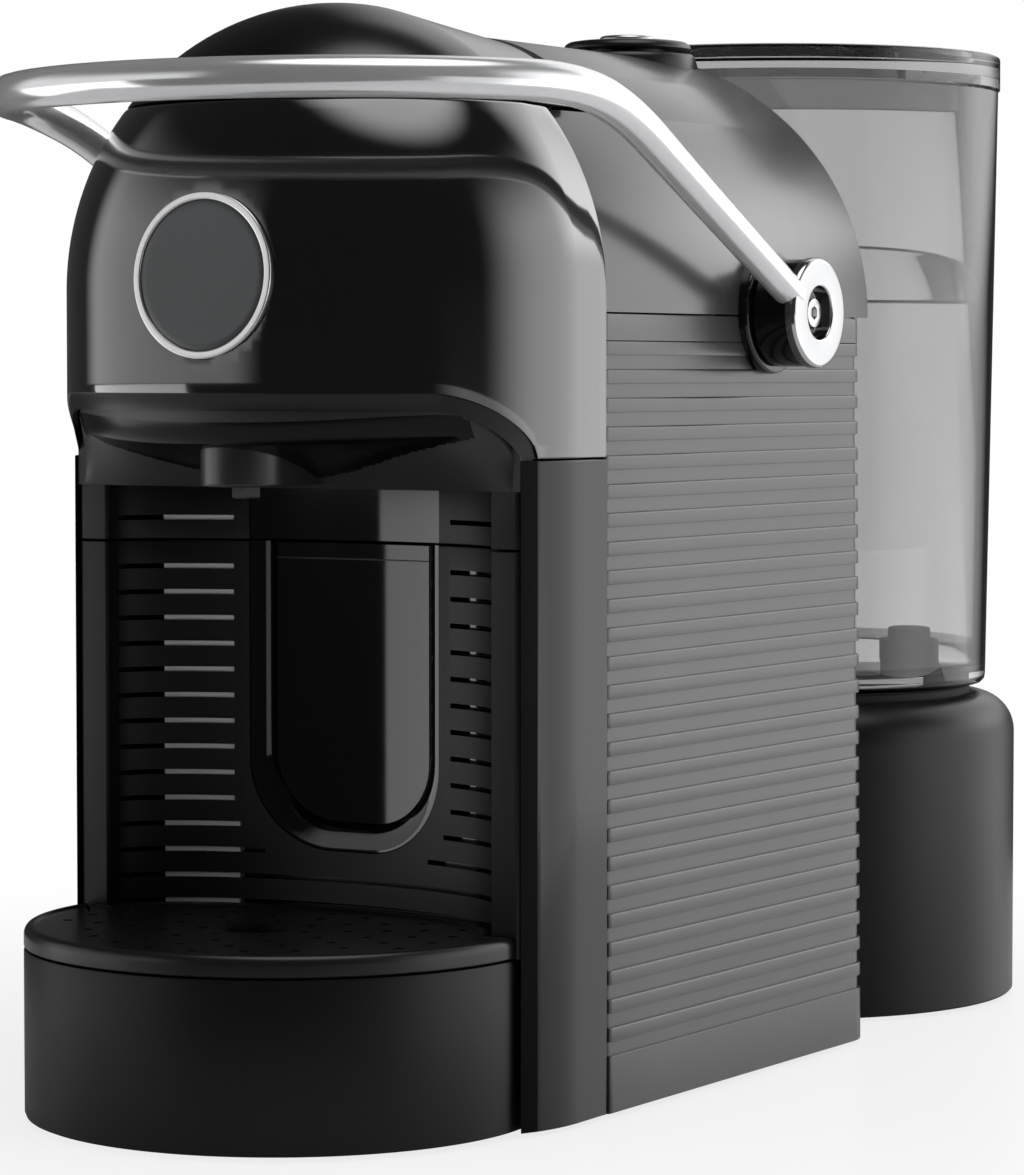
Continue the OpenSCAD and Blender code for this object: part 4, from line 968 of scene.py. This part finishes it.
def makeCeiling():  # a slope from the lip back to the band, with a dark bowl hanging round the spout
    loops, top = [], bay["topZ"]
    count, rows, half, r = ceiling["columns"], ceiling["rows"], ceiling["half"], ceiling["lipR"]
    for i in range(count + 1):
        x = -half + 2 * half * i / count
        share = min(1, max(0, (abs(x) - ceiling["lipFlat"]) / r))
        lipZ = max(ceiling["lipZ"] - r * (1 - math.sqrt(max(0, 1 - share * share))), top + 3)
        frontY = frontAt(x, lipZ, head["wall"] + 0.35)[1]
        under = []
        for row in range(rows + 1):
            f = row / rows
            y = frontY + (bay["frontY"] - 0.05 - frontY) * f
            slope = lipZ - 0.5 * min(1, f * 12) + (top - lipZ + 0.5) * f
            dip = bowlHeight(x, y, frontY)
            under.append((x, y, min(slope, dip) - max(0, 1 - abs(slope - dip)) ** 2 / 4))
        loops.append([*under, (x, bay["frontY"], ceiling["top"]), (x, frontY, ceiling["top"] + 0.2)])
    piece = fromPoints("bayCeiling", *loopShell(loops), ["baySatin", "bowlBlack"])
    for face in piece.data.polygons:
        x, y, z = face.center / mm
        frontY = frontAt(x, max(z, 150), head["wall"] + 0.35)[1]
        face.material_index = 1 if abs(z - bowlHeight(x, y, frontY)) < 0.6 and y < bay["frontY"] - 1 else 0
    settle(piece, body="machine", slot="bay_satin", angle=24)
    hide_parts("bay_frame")


spout = {"radius": 9.7, "y": -128.6, "foot": 136.3, "run": 20, "top": 160}


def makeSpout():
    r, y = spout["radius"], spout["y"]
    outline = [(r * math.cos(t), y - r * math.sin(t)) for t in [math.pi * k / 40 for k in range(41)]]
    outline = [*outline, (-r, y + spout["run"]), (r, y + spout["run"])]
    piece = fromPoints("coffeeSpout", *prism(outline, spout["foot"], spout["top"], edge=0.7), "spoutSatin")
    carved(piece, spun([(0, 130), (2, 130), (2, 150), (0, 150)], (0, y, 0), steps=24))
    settle(piece, "coffee_spout", angle=32)
    nozzle = spun([(2, 0), (2.9, 0), (3.4, 0.35), (3.4, 2.6), (2, 2.6)], (0, y, spout["foot"] - 2.6),
                  steps=6, ring=True)
    settle(fromPoints("spoutNozzle", *nozzle, "spoutSatin"), "spout_nozzle", angle=20)


drum = {"radius": 56.5, "y": -114, "foot": 1, "top": 37.5, "cupY": -125, "hole": 1.25, "finger": 6.7}


def holeTree():
    # Rings of drip holes: each ring has its own count, and every second ring is turned half a step
    tree = GeometryTree("dripHoles", [("Rings", "Int", 6), ("First Radius", "Float", 0.011),
                        ("Spacing", "Float", 0.0078), ("Hole Radius", "Float", 0.00125),
                        ("Holes Per Metre", "Float", 90.0), ("Centre", "Vector", None),
                        ("Hole Depth", "Float", 0.02), ("Material", "Material", None)])
    line = tree.add("GeometryNodeMeshLine", {"mode": "OFFSET"}, {"Count": 400})
    index = tree.add("GeometryNodeInputIndex")
    most = 64  # places that each ring may take; those past its own count are dropped
    ring = (index / float(most)).math("FLOOR")
    place = index - ring * most
    radius = tree.given("First Radius") + ring * tree.given("Spacing")
    share = (radius * 2 * math.pi * tree.given("Holes Per Metre")).math("FLOOR")
    turn = (place + (ring.math("MODULO", 2) * 0.5)) / share * (2 * math.pi)
    spot = tree.add("ShaderNodeCombineXYZ", {}, {"X": radius * turn.math("COSINE"),
                                                 "Y": radius * turn.math("SINE")})
    spot = tree.vector("ADD", spot, tree.given("Centre"))
    line = tree.add("GeometryNodeSetPosition", {}, {"Geometry": line, "Position": spot})
    pastLastRing = ring.math("GREATER_THAN", tree.given("Rings") - 0.5)
    tooMany = (place - share).math("GREATER_THAN", -0.5).math("MAXIMUM", pastLastRing)
    line = tree.add("GeometryNodeDeleteGeometry", {"domain": "POINT"},
                    {"Geometry": line, "Selection": tooMany})
    bit = tree.add("GeometryNodeMeshCylinder", {}, {"Vertices": 12, "Radius": tree.given("Hole Radius"),
                   "Depth": tree.given("Hole Depth")})
    tree.finishWith(tree.add("GeometryNodeInstanceOnPoints", {}, {"Points": line, "Instance": bit}))
    return tree


def drillBits(high):  # a bit for each hole that falls well inside the plate, centred at the plate's top
    bits = carrier("bits", [(0, 0, 0)])
    bits = holeTree().run(bits, {"Rings": 5, "First Radius": 12 * mm, "Spacing": 8 * mm,
                                 "Hole Radius": drum["hole"] * mm,
                                 "Holes Per Metre": 95.0, "Centre": (0, drum["cupY"] * mm, high * mm),
                                 "Hole Depth": 20 * mm}, "grilleBlack")
    work = bmesh.new()
    work.from_mesh(bits.data)
    spare = [v for v in work.verts if not inPlate(v.co.x / mm, v.co.y / mm)]
    islands = {f for v in spare for f in v.link_faces}
    while True:
        grown = islands | {g for f in islands for v in f.verts for g in v.link_faces}
        if len(grown) == len(islands):
            break
        islands = grown
    bmesh.ops.delete(work, geom=list(islands), context="FACES")
    work.to_mesh(bits.data)
    work.free()
    return bits


def makeDrum():
    r, y, top = drum["radius"], drum["y"], drum["top"]
    outer = [(0, 1), (r - 1.2, 1), (r - 0.35, 1.35), (r, 2.2), (r, top - 0.7), (r - 0.2, top - 0.2),
             (r - 0.7, top)]
    outer += [(r - 2.5, top), (r - 2.5, 3.4), (0, 3.4)]
    shell = spun(outer, (0, y, 0), steps=160)
    tray = box((-42, y + 45, top - 3), (42, -30.27, top - 0.05), 0.4)
    settle(fromPoints("dripDrum", *joined(shell, tray), "drumBlack"), "drip_drum", angle=32)
    front = bay["frontY"] - 0.6
    arc = math.asin((front - y) / r)
    outline = [(r * math.cos(t), y + r * math.sin(t))
               for t in [arc - (math.pi + 2 * arc) * k / 150 for k in range(151)]]
    a, b = bay["halfWidth"] - 0.6, bay["depth"]
    outline += [(-a * math.cos(math.pi * k / 80), front + b * math.sin(math.pi * k / 80)) for k in range(81)]
    low, high = top + 0.3, top + 4.8
    ease = 1.5
    loops = []
    steps = [(0.25, 0), (0, 0.25), (0, high - low - 2.1)]
    steps += [(ease * (1 - math.cos(t)), high - low - 2.1 + 2.1 * math.sin(t))
              for t in [math.pi / 2 * k / 6 for k in range(1, 7)]]
    steps += [(ease + 0.6, high - low), (ease + 1.0, high - low - 0.35), (ease + 1.2, high - low - 0.5)]
    for back, rise in steps:
        loops.append([(x, z, low + rise) for x, z in shrunk(outline, back)])
    plate = fromPoints("dripGrille", *loopShell(loops), "grilleBlack")
    cutAway(plate, drillBits(high), "MANIFOLD")
    carved(plate, spun([(0, low - 5), (drum["finger"], low - 5), (drum["finger"], high - 0.9),
                        (drum["finger"] + 0.8, high - 0.5), (drum["finger"] + 0.8, high + 5), (0, high + 5)],
                       (0, drum["cupY"], 0), steps=48))
    settle(plate, "drip_grille", angle=32)


def inPlate(x, y):
    if y < bay["frontY"] - 4:
        return math.hypot(x, y - drum["y"]) < drum["radius"] - 5.5
    return (x / (bay["halfWidth"] - 5)) ** 2 + ((y - bay["frontY"]) / (bay["depth"] - 4)) ** 2 < 1


tank = {"y": 107.5, "baseR": 63, "baseH": 78, "shoulder": 10, "foot": 80.3, "footR": 55.5, "rimR": 58,
        "height": 151.7,
        "wall": 1.8, "baseWall": 2.4, "lidZ": 232.3, "lidR": 58.5, "lidH": 8.5, "waterZ": 177.5,
        "port": (28, 124.5)}


def makeTank():
    centre = (0, tank["y"], 0)
    radius, top, f, w = tank["baseR"], tank["baseH"], tank["shoulder"], tank["baseWall"]
    profile = [(radius - w, 1), (radius - 0.6, 1), (radius, 1.6), (radius, top - f)]
    profile += [(radius - f + f * math.cos(t), top - f + f * math.sin(t))
                for t in [math.pi / 2 * k / 12 for k in range(1, 13)]]
    profile += [(radius - f - 0.7, top - 0.15), (radius - f - 1, top - 0.5), (radius - f - 1.4, top - 0.5),
                (0, top - 0.5), (0, top - w), (radius - f - 2, top - w), (radius - w, top - f),
                (radius - w, 1)]
    base = fromPoints("tankBase", *spun(profile, centre, steps=160), "tankBaseGrey")
    carved(base, spun([(0, 60), (9, 60), (9, 90), (0, 90)], (*tank["port"], 0), steps=48))
    settle(base, "tank_base", angle=32)
    seat = filleted([(48.5, top - 0.4), (51.5, top - 0.4), (51.5, top + 2), (48.5, top + 2)], 0.4, 3)
    settle(fromPoints("tankSeat", *spun(seat, centre, steps=128, ring=True), "rubberBlack"), "tank_seat_ring")
    z, fr, rr, h, t = tank["foot"], tank["footR"], tank["rimR"], tank["height"], tank["wall"]
    inner = [(rr - t, z + h), (fr - t + 0.1, z + 6.2), (fr - t - 0.7, z + 4.5), (fr - t - 2.2, z + t + 2),
             (0, z + t + 2)]
    outer = [(0, z), (fr - 2.4, z), (fr - 1, z + 0.4), (fr - 0.2, z + 1.3), (fr, z + 2.4), (rr, z + h - 0.3),
             (rr - 0.3, z + h),
             (rr - t + 0.3, z + h)]
    body = fromPoints("waterTank", *spun([*outer, *inner], centre, steps=160), ["smokedClear", "footSmoke"])
    for face in body.data.polygons:
        face.material_index = 1 if face.center.z < (z + 6.3) * mm else 0
    settle(body, "water_tank", angle=50)
    level = tank["waterZ"]
    share = (level - z) / h
    edge = fr - t + (rr - fr) * share - 0.05
    water = [(0, z + t + 2.05), (fr - t - 2.25, z + t + 2.05), (fr - t - 0.75, z + 4.55),
             (fr - t + 0.05, z + 6.2),
             (edge, level + 0.6), (edge - 0.25, level + 0.2), (edge - 1.2, level), (edge - 5, level),
             (0, level)]
    settle(fromPoints("water", *spun(water, centre, steps=128), "waterClear"), body="tank", slot="smoke",
           angle=60)
    # The meniscus ring takes the darker lid tint: a painted dark line at the water's edge, painted shade for
    # the refraction there
    meniscus = filleted([(edge - 1.1, level - 0.35), (edge - 0.05, level - 0.35), (edge - 0.05, level + 0.5),
                         (edge - 0.6, level + 0.3)], 0.15, 2)
    settle(fromPoints("meniscus", *spun(meniscus, centre, steps=128, ring=True), "lidSmoke"), body="tank",
           slot="smoke", angle=60)
    for node, name in (("tank_valve", "tankValve"), ("valve_poppet", "valvePoppet"),
                       ("tank_port", "tankPort")):
        softenedCopy(name, node, "rubberBlack", width=0.3)
    z, r, lh, rim = tank["lidZ"], tank["lidR"], tank["lidH"], rr - t - 0.6
    lid = [(0, lh - 3.5), (r - 6.5, lh - 3.5), (r - 5.5, lh - 3.1), (r - 3.4, lh - 0.5), (r - 2.4, lh),
           (r - 0.8, lh),
           (r - 0.2, lh - 0.25), (r, lh - 0.8), (r, 0.2), (r - 0.2, 0), (rim, 0), (rim - 0.4, -7.6),
           (rim - 0.8, -8),
           (rim - 1.7, -8), (rim - 2, -7.6), (rim - 2, lh - 5.9), (rim - 2.6, lh - 5.5), (0, lh - 5.5)]
    lid = [(a, b + z) for a, b in lid]
    settle(fromPoints("tankLid", *spun(lid, centre, steps=160), "lidSmoke"), "tank_lid", angle=32)


lever = {"axisY": -9.4, "axisZ": 173.8, "armX": 71.5, "hoopY": -99.3, "hoopB": 62.6, "hoopZ": 220,
         "slope": 26.6,
         "knee": 92, "root": 8, "bar": 4.3, "rootBar": 3.5, "hubR": 12.5, "hubIn": 63.7, "hubOut": 74.7}


def barHeight(ahead):  # height of the bar's middle at a distance ahead of the axis
    slope, knee = math.radians(lever["slope"]), lever["knee"]
    rise = lever["hoopZ"] - lever["axisZ"]
    bend = knee * math.sin(slope)
    end = (rise - knee * (1 - math.cos(slope))) / math.tan(slope) + bend
    if ahead > end:
        return lever["hoopZ"]
    if ahead > end - bend:
        return lever["hoopZ"] - knee + math.sqrt(knee ** 2 - (end - ahead) ** 2)
    return lever["axisZ"] + ahead * math.tan(slope)


def barTree():
    tree = GeometryTree("barAlongPath", [("Bar Radius", "Float", 0.0043), ("Root Radius", "Float", 0.0035),
                        ("Root Place", "Float", -0.009), ("Full Place", "Float", -0.1),
                        ("Material", "Material", None)])
    curve = tree.add("GeometryNodeMeshToCurve", {}, {"Mesh": tree.given()})
    y = tree.add("ShaderNodeSeparateXYZ", {}, {0: tree.add("GeometryNodeInputPosition")}, out=1)
    radius = tree.add("ShaderNodeMapRange", {}, {0: y, 1: tree.given("Root Place"),
                                                 2: tree.given("Full Place"),
                      3: tree.given("Root Radius"), 4: tree.given("Bar Radius")})
    curve = tree.add("GeometryNodeSetCurveRadius", {}, {"Curve": curve, "Radius": radius})
    ring = tree.add("GeometryNodeCurvePrimitiveCircle", {"mode": "RADIUS"}, {"Resolution": 28, "Radius": 1.0})
    tree.finishWith(tree.add("GeometryNodeCurveToMesh", {}, {"Curve": curve, "Profile Curve": ring,
                             "Scale": radius, "Fill Caps": True}))
    return tree


def makeLever():
    ys = [lever["axisY"] - lever["root"] - (lever["axisY"] - lever["root"] - lever["hoopY"]) * k / 26
          for k in range(26)]
    path = [(lever["armX"], y) for y in ys]
    path += [(lever["armX"] * math.cos(t), lever["hoopY"] - lever["hoopB"] * math.sin(t))
             for t in [math.pi * k / 80 for k in range(81)]]
    path += [(-lever["armX"], y) for y in reversed(ys)]
    points = [(x, y, barHeight(lever["axisY"] - y)) for x, y in path]
    bar = carrier("leverBar", points, edges=[(i, i + 1) for i in range(len(points) - 1)])
    bar = barTree().run(bar, {"Bar Radius": lever["bar"] * mm, "Root Radius": lever["rootBar"] * mm,
                              "Root Place": lever["axisY"] * mm, "Full Place": (lever["axisY"] - 91.5) * mm},
                        "chrome")
    work = bmesh.new()
    work.from_mesh(bar.data)
    bmesh.ops.recalc_face_normals(work, faces=work.faces)
    work.to_mesh(bar.data)
    work.free()
    settle(bar, "lever_bar", angle=60)
    a, b, r = lever["hubIn"], lever["hubOut"], lever["hubR"]
    hub = filleted([(5.1, a), (r - 0.3, a), (r - 0.3, b - 2.6), (r, b - 2.6), (r, b), (6, b), (6, b - 4),
                    (1.7, b - 4),
                    (1.7, a + 4), (5.1, a + 4)], {1: 0.5, 3: 0.5, 4: 1.5, 5: 0.6, 6: 0.3}, 5)
    for name, node, side in (("hubRight", "lever_hub_right", 1), ("hubLeft", "lever_hub_left", -1)):
        shape = spun([(q, side * p) for q, p in hub], (0, lever["axisY"], lever["axisZ"]), axis="x",
                     steps=96, ring=True)
        piece = fromPoints(name, *shape, ["capChrome", "hubBlack"])
        for face in piece.data.polygons:  # a bright cap on a black hub
            centre = face.center / mm
            rim = math.hypot(centre.y - lever["axisY"], centre.z - lever["axisZ"])
            face.material_index = 1 if abs(centre.x) < b - 2.65 and rim > 6.5 else 0
        settle(piece, node, angle=38)
    collar = filleted([(5.1, 54.9), (13.8, 54.9), (13.8, 63.4), (5.1, 63.4)], {2: 1.0}, 4)
    shapes = [spun([(q, side * p) for q, p in collar], (0, lever["axisY"], lever["axisZ"]), axis="x",
                   steps=96, ring=True)
              for side in (1, -1)]
    settle(fromPoints("shaftCollars", *joined(*shapes), "hubBlack"), "shaft_collars", angle=38)
    softenedCopy("hubScrews", "hub_screws", "steel", width=0.2)


button = {"y": 32.5, "radius": 15.5, "coverTop": 236.5}


def makeButton():
    centre, r, top = (0, button["y"], 0), button["radius"], button["coverTop"]
    base = [(10.4, top - 8), (r + 3.4, top - 8), (r + 2.4, top - 5), (r + 1.6, top - 2.4),
            (r + 1.1, top - 0.4),
            (r + 0.7, top + 0.4), (r + 0.2, top + 0.7), (10.6, top + 0.7)]
    settle(fromPoints("buttonBase", *spun(base, centre, steps=96, ring=True), "buttonBlack"), "button_base",
           angle=40)
    z = top + 1.7
    cap = [(0, top - 4), (9.8, top - 4), (10, top - 3.8), (10, z), (r - 0.3, z), (r, z + 0.3),
           (r - 0.05, z + 0.8),
           (r - 0.5, z + 1.5), (r - 1.3, z + 2.0), (r - 2.6, z + 2.2), (7.3, z + 2.2), (7.0, z + 1.9),
           (0, z + 1.9)]
    settle(fromPoints("buttonCap", *spun(cap, centre, steps=96), "buttonBlack"), "button_cap", angle=40)
    z += 2.2
    disc = [(0, z - 0.3), (6.75, z - 0.3), (6.8, z + 0.7), (6.55, z + 1.15), (6.1, z + 1.4), (3, z + 1.65),
            (0, z + 1.7)]
    settle(fromPoints("buttonDisc", *spun(disc, centre, steps=72), "discSilver"), "button_disc", angle=50)


# The pieces inside and underneath: node, then name, finish and eased edge in mm
inside = {"base_plate": ("basePlate", "darkMoulded", 0.4), "brew_frame": ("brewFrame", "darkMoulded", 0.4),
          "brew_head": ("brewHead", "darkMoulded", 0.4),
          "hatch_bracket": ("hatchBracket", "darkMoulded", 0.2),
          "hatch_pin": ("hatchPin", "steel", 0.2), "hatch_hinge": ("hatchHinge", "darkMoulded", 0.2),
          "boiler": ("boiler", "boilerAluminium", 0.5), "pump": ("pump", "steel", 0.5),
          "pump_mounts": ("pumpMounts", "rubberBlack", 0.6), "flow_meter": ("flowMeter", "meterCream", 0.5),
          "suction_hose": ("suctionHose", "hosePale", 0), "pressure_hose": ("pressureHose", "hosePale", 0),
          "brew_pipe": ("brewPipe", "hosePale", 0), "circuit_board": ("circuitBoard", "boardGreen", 0),
          "cord_gland": ("cordGland", "rubberBlack", 0.3),
          "drawer_rails": ("drawerRails", "darkMoulded", 0.3),
          "lever_shaft": ("leverShaft", "steel", 0.3), "drive_crank": ("driveCrank", "steel", 0.3),
          "brew_piston": ("brewPiston", "darkMoulded", 0.4), "piston_seal": ("pistonSeal", "sealRed", 0.3)}


def makeInside():
    for node, (name, finish, width) in inside.items():
        softenedCopy(name, node, finish, width=width)
    feet = [spun([(0, 0), (6.2, 0), (6.8, 0.25), (7, 0.7), (7, 2.1), (0, 2.1)], (x, y, 0), steps=48)
            for x, y in ((-46, -37.6), (46, -37.6), (-40, 125.5), (40, 125.5))]
    settle(fromPoints("rubberFeet", *joined(*feet), "rubberBlack"), "rubber_feet")
    softenedCopy("baseScrews", "base_screws", "steel", width=0.2)


makeBadge()
makeWall()
makeBin()
makeBayFrame()
makeCeiling()
makeSpout()
makeDrum()
makeTank()
makeLever()
makeButton()
makeInside()
print("bay, drum, tank, lever and inside made")
# The camera and its stage
shot = {"place": (0.51344, -0.85846, 0.16094), "toward": (-0.52204, 0.85136, -0.05169), "lens": 128.87}
# Soft boxes of the studio: compass direction in degrees, half widths of the core and the whole, then heights
# as sines of the elevation (full up to, ends at, begins at, full from), and the strength
boxes = {"right": (40, 8, 54, 0.3, 0.72, -1.2, -1.1, 2.1),
         "left": (-146, 30, 44, 0.2, 0.62, -0.022, -0.018, 1.05),
         "behind": (86, 16, 44, 0.72, 0.86, 0.1, 0.24, 1.25),
         "leftLow": (-156, 24.2, 25.2, -0.03, -0.026, -1.2, -1.1, 2.3),
         "rightLow": (-2, 20, 36, -0.03, -0.026, -1.2, -1.1, 0.9)}
above = {"aim": (0.16, -0.08, 0.98), "core": 0.972, "rim": 0.87, "strength": 2.9}
room = 0.05
floorTone = {"colour": (0.9, 0.9, 0.905, 1), "near": 0.1, "far": 0.38, "share": 0.8,
             "reach": 420}


def seenDirectly(graph):  # what the camera sees, also through clear plastic, and what a gloss mirrors
    paths = graph.tree.nodes.new("ShaderNodeLightPath")
    camera, through, glossy = (Signal(graph, paths.outputs[f"Is {kind} Ray"])
                               for kind in ("Camera", "Transmission", "Glossy"))
    return camera.math("MAXIMUM", through), glossy


def studioWorld():
    world = bpy.data.worlds.new("studio")
    bpy.context.scene.world = world
    world.use_nodes = True
    world.node_tree.nodes.clear()
    sky = Graph(world.node_tree)
    toward = sky.add("ShaderNodeTexCoord", out="Generated")
    level = sky.add("ShaderNodeVectorMath", {"operation": "NORMALIZE"}, {0: sky.add(
        "ShaderNodeVectorMath", {"operation": "MULTIPLY"}, {0: toward, 1: (1, 1, 0)})})
    height = sky.add("ShaderNodeSeparateXYZ", {}, {0: toward}, out=2)

    def eased(value, start, end):
        return sky.add("ShaderNodeMapRange", {"interpolation_type": "SMOOTHSTEP"},
                       {0: value, 1: start, 2: end})

    def facing(aim, direction):
        return sky.add("ShaderNodeVectorMath", {"operation": "DOT_PRODUCT"}, {0: direction, 1: aim},
                       out="Value")
    overhead = facing(tuple(Vector(above["aim"]).normalized()), toward)
    glow = eased(overhead, above["rim"], above["core"]) * above["strength"]
    for compass, core, rim, full, end, start, whole, strength in boxes.values():
        turn = math.radians(compass)
        across = eased(facing((math.cos(turn), math.sin(turn), 0), level),
                       math.cos(math.radians(rim)), math.cos(math.radians(core)))
        glow = glow + across * eased(height, end, full) * eased(height, start, whole) * strength
    seen, glossy = seenDirectly(sky)
    shiny = glossy * room
    strength = (glow + room).math("MAXIMUM", shiny)
    strength = strength * (1 - seen) + seen
    back = sky.add("ShaderNodeBackground", {}, {"Color": (1, 1, 1, 1), "Strength": strength})
    sky.add("ShaderNodeOutputWorld", {}, {"Surface": back})


def studioFloor():
    reach = floorTone["reach"]
    corners = [(-reach, -reach, 0), (reach, -reach, 0), (reach, reach, 0), (-reach, reach, 0)]
    floor = fromPoints("floor", corners, [(0, 1, 2, 3)], "rubberBlack", tidy=False)
    material, graph = newFinish("floorWhite")
    place = graph.add("ShaderNodeTexCoord", out="Object")
    distance = graph.add("ShaderNodeVectorMath", {"operation": "LENGTH"}, {0: place}, out="Value")
    far = graph.add("ShaderNodeMapRange", {"interpolation_type": "SMOOTHSTEP"},
                    {0: distance, 1: floorTone["near"], 2: floorTone["far"], 3: floorTone["share"]})
    seen, _ = seenDirectly(graph)
    paint = graph.add("ShaderNodeBsdfPrincipled", {}, {"Base Color": floorTone["colour"], "Roughness": 0.22,
                                                      "Specular IOR Level": 0.35})
    light = graph.add("ShaderNodeEmission", {}, {"Color": (1, 1, 1, 1), "Strength": 1.0})
    graph.add("ShaderNodeOutputMaterial", {}, {"Surface": graph.add("ShaderNodeMixShader", {}, {
        0: far * seen, 1: paint, 2: light})})
    floor.data.materials.clear()
    floor.data.materials.append(material)


def studioCamera():
    camera = bpy.data.objects.new("camera", bpy.data.cameras.new("camera"))
    camera.data.lens, camera.data.sensor_width = shot["lens"], 36
    camera.location = shot["place"]
    camera.rotation_euler = Vector(shot["toward"]).to_track_quat("-Z", "Y").to_euler()
    bpy.context.scene.collection.objects.link(camera)
    bpy.context.scene.camera = camera


studioWorld()
studioFloor()
studioCamera()
bpy.context.scene.view_settings.view_transform = "Standard"
print("stage set")
